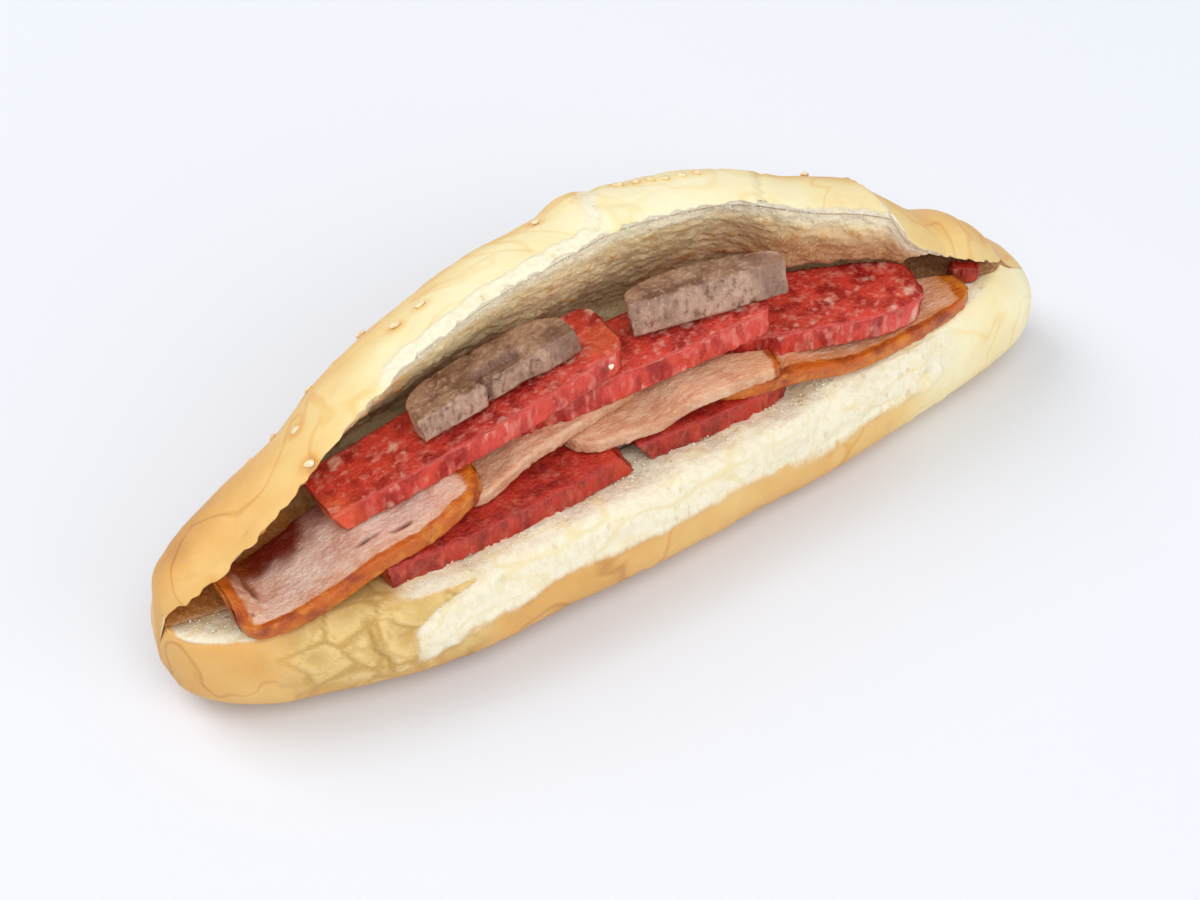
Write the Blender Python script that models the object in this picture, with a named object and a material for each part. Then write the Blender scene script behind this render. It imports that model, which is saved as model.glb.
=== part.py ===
"""A long soft white roll, slit down its front side and still joined along its back and at both ends. Its flap
is arched open over thick slices of salami, smoked ham and grey boiled meat, and sesame seeds lie on its crown.

Millimetres are used throughout and turned into metres as each mesh is made. X runs along the roll, Y across it
from the mouth (-Y) to the back, and Z is up from the surface that the roll stands on.
"""

import math
import random
from dataclasses import dataclass

import bmesh
import bpy
from mathutils import Matrix, Vector
from mathutils.bvhtree import BVHTree

MM = 0.001
# The point of the roll's own coordinates that becomes the origin: the middle of the opened roll's box.
ORIGIN = (4.2, 5.0, 0.0)

# The closed roll, about its own axis.
MID_X = 4.2
HALF_LENGTH = 125.6
END_POWER = 3.6  # how blunt the two ends are
END_ROOT = 2.2
EQUATOR_Z = 19.0
BASE_SINK = 0.9  # the rounded underside would reach this far below the surface, and is pressed flat on it
LOWER_SQUARENESS = 3.2  # 2 would make the lower half an ellipse
FRONT_WIDTH = ((-121, 30.0), (-85, 30.7), (-60, 32.6), (-30, 31.6), (10, 29.9), (55, 27.0), (90, 25.2),
               (110, 26.5), (130, 33.0))
BACK_WIDTH = ((-121, 32.0), (20, 32.0), (90, 29.0), (130, 25.0))
CROWN_RISE = ((-121, 39.0), (-112, 31.0), (-98, 26.6), (-80, 25.0), (-65, 27.8), (-40, 31.2), (-20, 33.4),
              (0, 34.4), (9, 36.7), (25, 35.0), (52, 33.4), (66, 31.0), (76, 30.8), (81.5, 31.0), (84, 32.0),
              (98, 28.8), (106, 30.0), (113, 28.5), (119, 23.5), (124, 20.0), (130, 14.0))
CUT_Z = ((-127, 30.0), (-60, 32.0), (0, 33.0), (60, 33.5), (127, 35.0))

# The slit: how far each stretch of the flap is raised about the back, in degrees. It drops at a tear.
OPENING = (
    (-121, 30), (-110, 33), (-92, 42), (-70, 53), (-45, 60.5), (-15, 65.5), (10, 67.5), (35, 65.5),
    (60, 57), (81.5, 49), (84, 39), (92, 30), (104, 21), (115, 9), (123, 0), (130, 0),
)
LIP_RISE_DEG = 2.0  # the flap's lip starts this far above the cut, so that the slit never closes to nothing
HINGE_WALL = ((-127, 6.0), (-100, 8.0), (-60, 9.0), (40, 9.0), (58, 16.0), (88, 16.0), (104, 10.0), (127, 6.0))
FLOOR_Z = ((-127, 29.5), (-60, 30.6), (44, 30.6), (62, 34.0), (100, 34.2), (127, 34.6))
RIM = ((-127, 7.0), (60, 7.0), (96, 3.0), (127, 3.0))  # from the lower lip to the crumb pressed down flat
BULGE_WEIGHT = ((-127, 0), (44, 0), (58, 1), (86, 1), (98, 0), (127, 0))
BULGE_Y = ((50, 6.5), (59, 4.6), (70, 1.2), (77, -1.4), (90, -3.5))  # torn crumb that hangs over the filling
BULGE_Z = ((50, 52.5), (59, 51.6), (77, 50.2), (90, 46.0))
MOUTH_DEPTH = ((-127, 0.05), (-118, 1), (102, 1), (119, 0), (127, 0))
GROOVE = 0.5  # what is left of the slit where it runs out

CRACKS = ((8, 1.6), (46, 1.6))  # places along the flap where its crust has split, and how deep
CRACK_WIDTH = 1.8
TEAR = (81.5, 84.0)  # where the flap has torn and its right end hangs lower

LOWER_STEPS = 18
CROWN_STEPS = 16
MOUTH_STEPS = 16
STATIONS = 58

# Sesame seeds.
SEED_LENGTH, SEED_WIDTH, SEED_HEIGHT = 3.1, 1.9, 1.1
SEED_SPREAD = 52
SEED_FROM_DEG, SEED_TO_DEG = 84, 128  # across the crown, from the mouth side to the back
SHOWN_SEEDS = (
    (-77, 67), (-80, 40), (-47, 54), (-39.5, 53), (-2.5, 60), (21, 58), (25.5, 57), (29, 56), (32.5, 54),
    (36.5, 54), (40.5, 55),
)


def framed(x, y, z):
    """A point of the roll's own coordinates, in metres about the origin."""
    return (Vector((x, y, z)) - Vector(ORIGIN)) * MM


def smooth(t):
    t = min(max(t, 0.0), 1.0)
    return t * t * (3 - 2 * t)


def along(points, x):
    """The smooth curve through (x, value) points, read at x. It never swings past its points."""
    if x <= points[0][0]:
        return points[0][1]
    if x >= points[-1][0]:
        return points[-1][1]
    i = max(j for j in range(len(points) - 1) if points[j][0] <= x)

    def rate(j):
        return (points[j + 1][1] - points[j][1]) / (points[j + 1][0] - points[j][0])

    def slope(j):
        if j in (0, len(points) - 1) or rate(j - 1) * rate(j) <= 0:
            return 0.0
        return 2 / (1 / rate(j - 1) + 1 / rate(j))

    (x0, v0), (x1, v1) = points[i], points[i + 1]
    width = x1 - x0
    t = (x - x0) / width
    return (
        v0 * (1 + 2 * t) * (1 - t) ** 2
        + v1 * t * t * (3 - 2 * t)
        + width * slope(i) * t * (1 - t) ** 2
        - width * slope(i + 1) * t * t * (1 - t)
    )


def mixed(a, b, t):
    return tuple(p + (q - p) * t for p, q in zip(a, b))


@dataclass
class Section:
    """The roll's cross-section at one place along it, as (y, z) points."""

    x: float

    def __post_init__(self):
        self.fullness = (1 - abs((self.x - MID_X) / HALF_LENGTH) ** END_POWER) ** (1 / END_ROOT)
        self.front = along(FRONT_WIDTH, self.x) * self.fullness
        self.back = along(BACK_WIDTH, self.x) * self.fullness
        self.rise = along(CROWN_RISE, self.x) * self.fullness**0.7
        self.sink = (EQUATOR_Z + BASE_SINK) * self.fullness**0.6
        self.cut = min(along(CUT_Z, self.x), EQUATOR_Z + 0.85 * self.rise)
        self.cut_angle = math.asin((self.cut - EQUATOR_Z) / self.rise)
        self.hinge = (self.back * math.cos(self.cut_angle), self.cut)
        self.opening = math.radians(along(OPENING, self.x))

    def closed(self, angle):
        """The outline of the closed roll: 0 is the front, 90 degrees the crown and -90 the underside."""
        across, up = math.cos(angle), math.sin(angle)
        half_width = self.front if across > 0 else self.back
        if up >= 0:
            return -half_width * across, EQUATOR_Z + self.rise * up
        square = 2 / LOWER_SQUARENESS
        y = -half_width * math.copysign(abs(across) ** square, across)
        return y, max(EQUATOR_Z - self.sink * abs(up) ** square, 0.0)

    def raised(self, point):
        """Where the opened flap carries a point: turned about the back, and less so right beside it."""
        dy, dz = point[0] - self.hinge[0], point[1] - self.hinge[1]
        turn = self.opening * smooth(math.hypot(dy, dz) / 9 + 0.15)
        return (
            self.hinge[0] + dy * math.cos(turn) + dz * math.sin(turn),
            self.hinge[1] - dy * math.sin(turn) + dz * math.cos(turn),
        )

    def crack(self, angle):
        """How deep the split crust is here."""
        depth = sum(d * max(0.0, 1 - abs(self.x - at) / CRACK_WIDTH) for at, d in CRACKS)
        return depth * smooth((math.degrees(angle) - 30) / 25) * smooth((150 - math.degrees(angle)) / 20)

    def crown(self, angle):
        """The flap's crust."""
        y, z = self.closed(angle)
        shrink = 1 - self.crack(angle) / max(self.rise, 1.0)
        return self.raised((y * shrink, EQUATOR_Z + (z - EQUATOR_Z) * shrink))

    def lip(self):
        return self.crown(self.cut_angle + math.radians(LIP_RISE_DEG))

    def lower_lip(self):
        return self.closed(self.cut_angle)

    def mouth(self):
        """The cut faces from the flap's lip, round the back of the mouth, to the lower lip."""
        lip, lower_lip = self.lip(), self.lower_lip()
        wall = min(along(HINGE_WALL, self.x), 0.45 * self.hinge[0])
        floor_z = min(along(FLOOR_Z, self.x), self.cut - 0.3)
        upper_turn = max(self.opening, 0.12)
        upper_apex = (
            self.hinge[0] - wall * math.cos(upper_turn),
            self.hinge[1] + wall * math.sin(upper_turn),
        )
        lower_apex = (self.hinge[0] - wall, floor_z)
        bulge = along(BULGE_WEIGHT, self.x)
        hang = mixed(upper_apex, lip, 0.4)
        if bulge > 0:
            torn = (along(BULGE_Y, self.x), along(BULGE_Z, self.x))
            hang = mixed(hang, torn, bulge)
            upper_apex = mixed(upper_apex, (upper_apex[0], torn[1] + 0.6), bulge)
        rim = min(along(RIM, self.x), 0.4 * self.front)
        floor_edge = (lower_lip[0] + rim, floor_z)
        corners = (lip, hang, upper_apex, lower_apex, floor_edge, lower_lip)
        steps = (5, 3, 2, 4, 2)
        full = []
        for (a, b), count in zip(zip(corners, corners[1:]), steps):
            full += [mixed(a, b, i / count) for i in range(count)]
        depth = along(MOUTH_DEPTH, self.x)
        groove = GROOVE * self.fullness
        points = []
        for i, point in enumerate(full):
            t = i / len(full)
            shallow = mixed(lip, lower_lip, t)
            shallow = (shallow[0] + groove * math.sin(math.pi * t), shallow[1])
            points.append(mixed(shallow, point, depth))
        return points

    def ring(self):
        """The closed loop of points: under the roll from lip to hinge, over the flap, and in through the mouth."""
        start, lip_angle = self.cut_angle, self.cut_angle + math.radians(LIP_RISE_DEG)
        under = [
            self.closed(start - (math.pi + 2 * start) * i / LOWER_STEPS) if i < LOWER_STEPS else self.hinge
            for i in range(LOWER_STEPS)
        ]
        over = [
            self.crown(math.pi - start - (math.pi - start - lip_angle) * i / CROWN_STEPS)
            for i in range(CROWN_STEPS)
        ]
        return under + over + self.mouth()


def station(i):
    """The places along the roll, closer together towards its ends."""
    u = 2 * i / STATIONS - 1
    return MID_X + HALF_LENGTH * math.sin(math.pi / 2 * (0.45 * u + 0.55 * u * abs(u) ** 0.2))


def new_object(name, mesh_source, collection, colour, roughness):
    """Makes an object of a bmesh, with a material of its own."""
    bmesh.ops.recalc_face_normals(mesh_source, faces=mesh_source.faces)
    mesh = bpy.data.meshes.new(name)
    mesh_source.to_mesh(mesh)
    mesh_source.free()
    material = bpy.data.materials.new(name)
    material.use_nodes = True
    shader = material.node_tree.nodes["Principled BSDF"]
    shader.inputs["Base Color"].default_value = (*colour, 1)
    shader.inputs["Roughness"].default_value = roughness
    mesh.materials.append(material)
    obj = bpy.data.objects.new(name, mesh)
    collection.objects.link(obj)
    return obj


def roll_stations():
    """Even stations, with three more across each crack in the crust and two across the tear."""
    extra = [at + side * CRACK_WIDTH for at, _ in CRACKS for side in (-1, 0, 1)] + list(TEAR)
    even = [station(i) for i in range(1, STATIONS)]
    even = [x for x in even if all(abs(x - other) > 1.2 for other in extra)]
    return sorted(even + extra)


def make_roll(collection):
    """The bread, as rings of points joined along its length and closed at a pole on each tip."""
    mesh = bmesh.new()
    rings = []
    for x in roll_stations():
        points = Section(x).ring()
        rings.append([mesh.verts.new(framed(x, y, z)) for y, z in points])
    for ring, following in zip(rings, rings[1:]):
        for i in range(len(ring)):
            j = (i + 1) % len(ring)
            mesh.faces.new((ring[i], ring[j], following[j], following[i]))
    for ring, side in ((rings[0], -1), (rings[-1], 1)):
        pole = mesh.verts.new(framed(MID_X + side * HALF_LENGTH, 0, EQUATOR_Z))
        for i in range(len(ring)):
            mesh.faces.new((ring[i], ring[(i + 1) % len(ring)], pole))
    return new_object("bread_roll", mesh, collection, (0.80, 0.58, 0.30), 0.7)


def seed_places():
    """(x, angle) of each sesame seed on the crown: those that show, then a scatter over the rest."""
    rng = random.Random(4)
    places = list(SHOWN_SEEDS)
    while len(places) < SEED_SPREAD:
        x = rng.gauss(0, 42)
        angle = rng.uniform(SEED_FROM_DEG, SEED_TO_DEG)
        if abs(x) > 88 or any(abs(x - at) < 5 for at, _ in CRACKS):
            continue
        if all(math.hypot(x - other, (angle - far) * 0.45) > 5.5 for other, far in places):
            places.append((x, angle))
    return [(x, math.radians(angle), rng.uniform(0, math.pi)) for x, angle in places]


def make_seeds(collection):
    """The sesame seeds, flat ovals pressed into the crust."""
    shape = bmesh.new()
    bmesh.ops.create_uvsphere(shape, u_segments=5, v_segments=4, radius=0.5)
    bmesh.ops.scale(shape, vec=Vector((SEED_LENGTH, SEED_WIDTH, SEED_HEIGHT)) * MM, verts=shape.verts)
    mesh = bpy.data.meshes.new("seed")
    shape.to_mesh(mesh)
    shape.free()
    for number, (x, angle, spin) in enumerate(seed_places()):
        here = Vector((x, *Section(x).crown(angle)))
        further = Vector((x + 2, *Section(x + 2).crown(angle)))
        round_it = Vector((x, *Section(x).crown(angle + 0.06)))
        normal = (further - here).cross(round_it - here).normalized()
        if normal.z < 0 and normal.y < 0:
            normal.negate()
        turn = normal.to_track_quat("Z", "X").to_matrix().to_4x4() @ Matrix.Rotation(spin, 4, "Z")
        seed = bpy.data.objects.new(f"seed_{number}", mesh)
        seed.matrix_world = Matrix.Translation(framed(*(here + normal * 0.15))) @ turn
        collection.objects.link(seed)


def fuse(obj, collection):
    """Joins every object of the collection to obj, then removes them."""
    union = obj.modifiers.new("seeds", "BOOLEAN")
    union.operation = "UNION"
    union.operand_type = "COLLECTION"
    union.collection = collection
    union.solver = "EXACT"
    with bpy.context.temp_override(object=obj, active_object=obj, selected_objects=[obj]):
        bpy.ops.object.modifier_apply(modifier=union.name)
    for other in list(collection.objects):
        bpy.data.objects.remove(other)
    bpy.data.collections.remove(collection)


# How soft slices give way to those that lie on them.
GIVE_GAP = 0.8
GIVE_REACH = 3.6  # they give way this far beyond the edges of what presses on them
THINNEST = 1.4


@dataclass
class Slice:
    """A slice of meat that lies in the mouth, given by its lower front edge.

    start and end are that edge's ends, and depth is how far the slice reaches back at each of them. The upper
    edge of an end may stand further along by its slant, and an end is rounded off over its round, on both
    sides or, with a straight front, at the back alone. The front edge bows out by belly. bed, where it is given,
    is the height of the underside along the slice, for a slice that drapes over what is beneath it.
    """

    name: str
    colour: tuple
    start: tuple
    end: tuple
    depth: tuple
    thickness: float
    belly: float = 0.0
    slant: tuple = (0.0, 0.0)
    round: tuple = (0.0, 0.0)
    lean: float = 0.0
    bed: tuple = ()
    curl: float = 0.0
    steps: tuple = (12, 4)
    straight_front: bool = False

    def place(self, u, v, w):
        """The point at u along the slice, v from its front to its back and w from its underside up."""
        start, end = Vector(self.start), Vector(self.end)
        run = end - start
        across = Vector((-run.y, run.x, 0)).normalized()
        across = (across * math.cos(math.radians(self.lean)) + Vector((0, 0, math.sin(math.radians(self.lean)))))
        up = run.cross(across).normalized()
        depth = self.depth[0] + (self.depth[1] - self.depth[0]) * u
        from_start, to_end = u * run.length, (1 - u) * run.length
        narrowing = 1.0
        for gap, length in ((from_start, self.round[0]), (to_end, self.round[1])):
            if gap < length:
                narrowing *= 0.35 + 0.65 * math.sqrt(1 - (1 - gap / length) ** 2)
        reach = depth * v * narrowing if self.straight_front else depth * (0.5 + (v - 0.5) * narrowing)
        reach -= self.belly * 4 * u * (1 - u) * (1 - v)
        slant = self.slant[0] * (1 - u) + self.slant[1] * u
        point = start + run * u + across * reach + run.normalized() * (slant * w)
        if self.bed:
            point.z = along(self.bed, point.x) + reach * math.sin(math.radians(self.lean))
        if self.curl:
            point.z += self.curl * smooth((11 - from_start) / 11) * smooth(reach / 10)
        return point + up * (self.thickness * w)

    def make(self, collection, above):
        """Makes the slice, pressed down wherever the slices above it, given as trees of faces, would cut in."""
        mesh = bmesh.new()
        along_steps, across_steps = self.steps
        bmesh.ops.create_grid(mesh, x_segments=along_steps, y_segments=across_steps, size=0.5)
        unders = list(mesh.verts)
        raised = bmesh.ops.extrude_face_region(mesh, geom=mesh.faces[:], use_keep_orig=True)
        tops = [item for item in raised["geom"] if isinstance(item, bmesh.types.BMVert)]
        for verts, level in ((unders, 0), (tops, 1)):
            for vert in verts:
                u, v = vert.co.x + 0.5, vert.co.y + 0.5
                vert.co = framed(*self.place(u + 0.5 * (smooth(u) - u), v, level))
        for level, verts in enumerate((tops, unders)):
            for vert in verts:
                room = room_under(above, vert.co) - level * THINNEST * MM
                vert.co.z = min(vert.co.z, room)
        bmesh.ops.triangulate(mesh, faces=mesh.faces[:])
        above.append(BVHTree.FromBMesh(mesh))
        return new_object(self.name, mesh, collection, self.colour, 0.5)


def room_under(above, point):
    """The height, in metres, below which a point is clear of the underside of every slice above it."""
    feet = [(0.0, 0.0)]
    for reach in (GIVE_REACH / 2, GIVE_REACH):
        feet += [(reach * math.cos(turn * math.pi / 4), reach * math.sin(turn * math.pi / 4)) for turn in range(8)]
    lowest = math.inf
    for dx, dy in feet:
        foot = Vector((point.x + dx * MM, point.y + dy * MM, 0))
        for tree in above:
            hit = tree.ray_cast(foot, Vector((0, 0, 1)))[0]
            if hit:
                lowest = min(lowest, hit.z - GIVE_GAP * MM)
    return lowest


SALAMI, HAM, GREY = (0.55, 0.05, 0.05), (0.72, 0.40, 0.28), (0.38, 0.27, 0.22)

# From the top of the filling down.
SLICES = (
    # Grey boiled meat.
    Slice("grey_meat_left", GREY, (-50.2, -3.9, 56.4), (-6.4, -2.4, 62.8), (12.0, 12.0), 7.2, 0.3, (0, 0), (12, 13),
          -10, straight_front=True),
    Slice("grey_meat_right", GREY, (9.0, -1.0, 58.0), (47.5, -10.6, 61.8), (9.6, 9.6), 9.8, 0.3, (0, 0), (16, 27),
          -12, straight_front=True),
    # Salami on the ham.
    Slice("salami_left", SALAMI, (-74.6, -8.8, 43.9), (4.2, -7.6, 56.6), (17, 20), 7.2, 1.6, (-2.5, 1), (0, 5), -7),
    Slice("salami_centre", SALAMI, (-31.4, -6.0, 44.4), (42.0, -12.6, 53.0), (20, 19), 7.8, 0.5, (0, 1), (6, 2), -6),
    Slice("salami_right", SALAMI, (22.8, -5.5, 43.6), (84.0, -20.8, 40.4), (23.6, 19.4), 7.4, 1.5, (0, 0), (4, 14), -4),
    # Smoked ham with its rind, draped over the salami beneath.
    Slice("ham_left", HAM, (-106.2, -18.2, 31.2), (-39.5, -17.0, 44.6), (20, 24), 4.8, 3.0, (0, 0), (6, 9), 0,
          ((-110, 31.4), (-98, 31.4), (-80, 35.8), (-69, 39.4), (-58, 40.2), (-46, 43.9), (-36, 44.2)), 6.2,
          (18, 6)),
    Slice("ham_middle", HAM, (-46.0, -15.4, 39.2), (9.5, -5.8, 44.0), (28, 22), 4.3, 0.5, (0, 0), (6, 5), 0,
          ((-52, 39.2), (-40, 39.2), (-24, 43.4), (12, 43.2)), 0, (18, 6)),
    Slice("ham_centre", HAM, (-16.0, -12.9, 39.2), (41.0, -19.4, 43.6), (23, 6), 4.2, 1.0, (0, 0), (8, 3), 0,
          ((-18, 39.1), (6, 39.1), (18, 43.7), (42, 43.9)), 0, (18, 5)),
    Slice("ham_right", HAM, (21.5, -14.4, 38.8), (101.4, -16.4, 34.9), (30, 9), 4.4, 5.6, (0, 0), (10, 9), 0,
          ((19, 38.7), (45, 38.7), (64, 34.9), (106, 34.9)), 0, (24, 7)),
    # Salami on the bottom of the mouth.
    Slice("salami_front_right", SALAMI, (4.4, -16.8, 31.2), (47.5, -16.8, 31.2), (29, 20), 7.4, 1.0,
          (-4.5, 0), (0, 8)),
    Slice("salami_front_left", SALAMI, (-69.5, -20.0, 31.2), (-0.2, -17.8, 31.2), (29, 31), 7.6, 1.8, (-1, -4.5)),
)

# The last salami stands clear of the others, at the far end of the mouth.
FAR_END = Slice("salami_far_end", SALAMI, (100.2, -7.4, 35.6), (107.0, -10.8, 35.4), (3.4, 2.6), 5.2, steps=(6, 3))


def main():
    for obj in list(bpy.data.objects):
        bpy.data.objects.remove(obj)
    scene_collection = bpy.context.scene.collection
    food = bpy.data.collections.new("filled_sandwich_roll")
    seeds = bpy.data.collections.new("seeds")
    scene_collection.children.link(food)
    scene_collection.children.link(seeds)
    roll = make_roll(food)
    make_seeds(seeds)
    fuse(roll, seeds)
    above = []
    for piece in SLICES:
        piece.make(food, above)
    FAR_END.make(food, [])


main()
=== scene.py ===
"""A long soft white roll, slit along its front and arched open over salami, smoked ham and grey meat.

Sizes are in millimetres in the roll's own coordinates: X along it, -Y out of its mouth, Z up from the
surface it stands on. They are moved to the frame's origin and turned into metres as each mesh is made.
"""

import logging
import math
import random
from dataclasses import dataclass
from enum import Enum

import bmesh
import bpy
import numpy as np
from mathutils import Matrix, Vector


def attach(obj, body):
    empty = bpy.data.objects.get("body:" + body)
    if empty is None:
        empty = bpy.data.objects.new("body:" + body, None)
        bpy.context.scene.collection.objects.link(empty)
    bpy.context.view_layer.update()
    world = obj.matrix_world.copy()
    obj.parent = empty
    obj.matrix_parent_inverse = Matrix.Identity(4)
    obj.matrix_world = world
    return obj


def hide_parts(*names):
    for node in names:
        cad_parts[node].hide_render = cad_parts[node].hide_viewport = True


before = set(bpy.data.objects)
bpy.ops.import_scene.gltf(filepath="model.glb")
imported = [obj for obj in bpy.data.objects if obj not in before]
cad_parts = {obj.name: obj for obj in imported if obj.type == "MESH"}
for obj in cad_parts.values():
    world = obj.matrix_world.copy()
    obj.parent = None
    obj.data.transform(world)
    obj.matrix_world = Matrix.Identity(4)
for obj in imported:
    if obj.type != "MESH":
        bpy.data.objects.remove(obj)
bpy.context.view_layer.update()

Array = np.ndarray
Piece, Material = bpy.types.Object, bpy.types.Material
NodeTree, Socket = bpy.types.NodeTree, bpy.types.NodeSocket

LOG = logging.getLogger("filled_sandwich_roll")
MM = 0.001
# The point of the roll's own coordinates that is the frame's origin.
ORIGIN = np.array((4.2, 5.0, 0.0))


# --- numbers through space


def smooth(t: Array) -> Array:
    """Eases t from 0 to 1, flat at both ends."""
    t = np.clip(t, 0.0, 1.0)
    return t * t * (3 - 2 * t)


def rising(value: Array, low: float, high: float) -> Array:
    """Goes smoothly from 0 where value is low to 1 where it is high; low may be the larger of the two."""
    return smooth((value - low) / (high - low))


def hump(gap: Array, width: float) -> Array:
    """Is 1 where gap is 0, and fades to nothing by about twice the width."""
    return np.exp(-((gap / width) ** 2))


def within(value: Array, start: float, full: float, last: float, end: float) -> Array:
    """Goes smoothly from 0 at start to 1 at full, and from 1 at last back to 0 at end."""
    return rising(value, start, full) * rising(value, end, last)


def toward(a: Array, b: Array, share: Array) -> Array:
    """Goes from a to b by a share."""
    return a + (b - a) * share


@dataclass(frozen=True)
class Course:
    """A smooth course of a value along the roll, given at a few places.

    Attributes:
        points: (place, value) pairs in order. The course never swings past them.
    """

    points: tuple

    def at(self, x: Array) -> Array:
        """Reads the course.

        Args:
            x: the places along the roll, in millimetres.

        Returns:
            The value at each of them.
        """
        px, pv = np.array(self.points, float).T
        rate = np.diff(pv) / np.diff(px)
        slope = np.zeros(len(px))
        same = rate[:-1] * rate[1:] > 0
        slope[1:-1][same] = 2 / (1 / rate[:-1][same] + 1 / rate[1:][same])
        x = np.clip(np.asarray(x, float), px[0], px[-1])
        i = np.clip(np.searchsorted(px, x, side="right") - 1, 0, len(px) - 2)
        width = px[i + 1] - px[i]
        t = (x - px[i]) / width
        return (
            pv[i] * (1 + 2 * t) * (1 - t) ** 2
            + pv[i + 1] * t * t * (3 - 2 * t)
            + width * slope[i] * t * (1 - t) ** 2
            - width * slope[i + 1] * t * t * (1 - t)
        )


class Grain:
    """Smooth random values through space, the same each time they are read."""

    def __init__(self, seed: int) -> None:
        """Fills the lattice of random values.

        Args:
            seed: which lattice to make.
        """
        self.side = 32
        rng = np.random.default_rng(seed)
        self.table = rng.random((self.side,) * 3) * 2 - 1
        self.spots = rng.random((self.side, self.side, self.side, 4))

    def at(self, places: Array, size: float | tuple) -> Array:
        """Reads one layer of values from -1 to 1.

        Args:
            places: points, (..., 3), in millimetres.
            size: how far apart the values vary, in millimetres, for all axes or for each.

        Returns:
            One value for each point.
        """
        q = places / np.broadcast_to(np.asarray(size, float), (3,))
        low = np.floor(q).astype(int)
        t = smooth(q - low)
        total = np.zeros(places.shape[:-1])
        for corner in np.ndindex(2, 2, 2):
            share = np.ones(places.shape[:-1])
            for axis, far in enumerate(corner):
                share = share * (t[..., axis] if far else 1 - t[..., axis])
            cell = (low + np.array(corner)) % self.side
            total += share * self.table[cell[..., 0], cell[..., 1], cell[..., 2]]
        return total

    def layered(self, places: Array, size: float, layers: int = 3) -> Array:
        """Adds layers of values, each finer and weaker than the one before.

        Args:
            places: points, (..., 3), in millimetres.
            size: the size of the first layer, in millimetres.
            layers: how many layers are added.

        Returns:
            One value for each point, about -1 to 1.
        """
        total = np.zeros(places.shape[:-1])
        for layer in range(layers):
            total += self.at(places + 17.3 * layer, size / 2**layer) * 0.55**layer
        return total * 0.7

    def creases(self, places: Array, size: float, sharpness: float) -> Array:
        """Thin lines where layered values pass through 0: 1 on them and 0 beside them."""
        return np.clip(1 - np.abs(self.layered(places, size, 2)) * sharpness, 0, 1)

    def cells(self, places: Array, size: float) -> tuple:
        """Scatters one spot in each cell of a lattice and measures to the nearest.

        Args:
            places: points, (..., 3), in millimetres.
            size: the side of a cell, in millimetres.

        Returns:
            The distance to the nearest spot and how much further the next one is, in cells, and the nearest
            spot's own random value from 0 to 1.
        """
        q = places / size
        low = np.floor(q).astype(int)
        nearest = np.full(places.shape[:-1], 9.0)
        second = nearest.copy()
        value = np.zeros(places.shape[:-1])
        for step in np.ndindex(3, 3, 3):
            cell = low + np.array(step) - 1
            key = cell % self.side
            spot = self.spots[key[..., 0], key[..., 1], key[..., 2]]
            gap = np.linalg.norm(cell + spot[..., :3] - q, axis=-1)
            closer = gap < nearest
            second = np.where(closer, nearest, np.minimum(second, gap))
            nearest = np.where(closer, gap, nearest)
            value = np.where(closer, spot[..., 3], value)
        return nearest, second - nearest, value


GRAIN = Grain(11)


# --- mesh making


def normals_of(points: Array, out: Array) -> Array:
    """Works out which way a wrapped surface faces.

    Args:
        points: (stations, ring, 3) places, each ring closed on itself.
        out: vectors that on the whole lead out of the piece.

    Returns:
        Unit vectors of the same shape, all facing out.
    """
    along = np.gradient(points, axis=0)
    around = np.roll(points, -1, axis=1) - np.roll(points, 1, axis=1)
    normal = np.cross(along, around)
    normal /= np.maximum(np.linalg.norm(normal, axis=-1, keepdims=True), 1e-9)
    return -normal if (normal * out).sum() < 0 else normal


def meshed(name: str, shape: bmesh.types.BMesh) -> bpy.types.Mesh:
    """Turns a bmesh into a mesh, and frees it."""
    mesh = bpy.data.meshes.new(name)
    shape.to_mesh(mesh)
    shape.free()
    return mesh


def linked(name: str, mesh: bpy.types.Mesh, material: Material) -> Piece:
    """Links a mesh to the scene as an object at the origin, in its material."""
    mesh.materials.append(material)
    obj = bpy.data.objects.new(name, mesh)
    bpy.context.scene.collection.objects.link(obj)
    return obj


def wrapped(name: str, points: Array, marks: dict, material: Material) -> Piece:
    """Wraps a flat grid round rings of points and closes it, with a pole where a whole ring is one point.

    Args:
        name: the new object's name.
        points: (stations, ring, 3) places in the roll's own millimetres.
        marks: attribute name to (stations, ring) values that the material reads.
        material: what it looks like.

    Returns:
        The object, at the origin, linked to the scene.
    """
    stations, ring = points.shape[:2]
    flat = bmesh.new()
    bmesh.ops.create_grid(flat, x_segments=stations - 1, y_segments=ring, size=1.0)
    mesh = meshed(name, flat)
    places = np.empty(len(mesh.vertices) * 3)
    mesh.vertices.foreach_get("co", places)
    places = places.reshape(-1, 3)
    i = np.rint((places[:, 0] + 1) / 2 * (stations - 1)).astype(int)
    j = np.rint((places[:, 1] + 1) / 2 * ring).astype(int) % ring
    mesh.vertices.foreach_set("co", ((points[i, j] - ORIGIN) * MM).ravel())
    for mark, values in marks.items():
        attribute = mesh.attributes.new(mark, "FLOAT", "POINT")
        attribute.data.foreach_set("value", values[i, j].astype(np.float32))
    closed = bmesh.new()
    closed.from_mesh(mesh)
    bmesh.ops.remove_doubles(closed, verts=closed.verts, dist=1e-6)
    bmesh.ops.recalc_face_normals(closed, faces=closed.faces)
    closed.to_mesh(mesh)
    closed.free()
    mesh.shade_smooth()
    return linked(name, mesh, material)


def capped(points: Array, tips: tuple = ()) -> Array:
    """Adds a ring that is one point at each end.

    Args:
        points: (stations, ring, 3) places.
        tips: where along the roll those two points lie, if further than the ends.

    Returns:
        (stations + 2, ring, 3) places.
    """
    ends = [ring.mean(axis=0) for ring in (points[0], points[-1])]
    for end, tip in zip(ends, tips):
        end[0] = tip
    first, last = (np.broadcast_to(end, points.shape[1:])[None] for end in ends)
    return np.concatenate([first, points, last])


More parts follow.
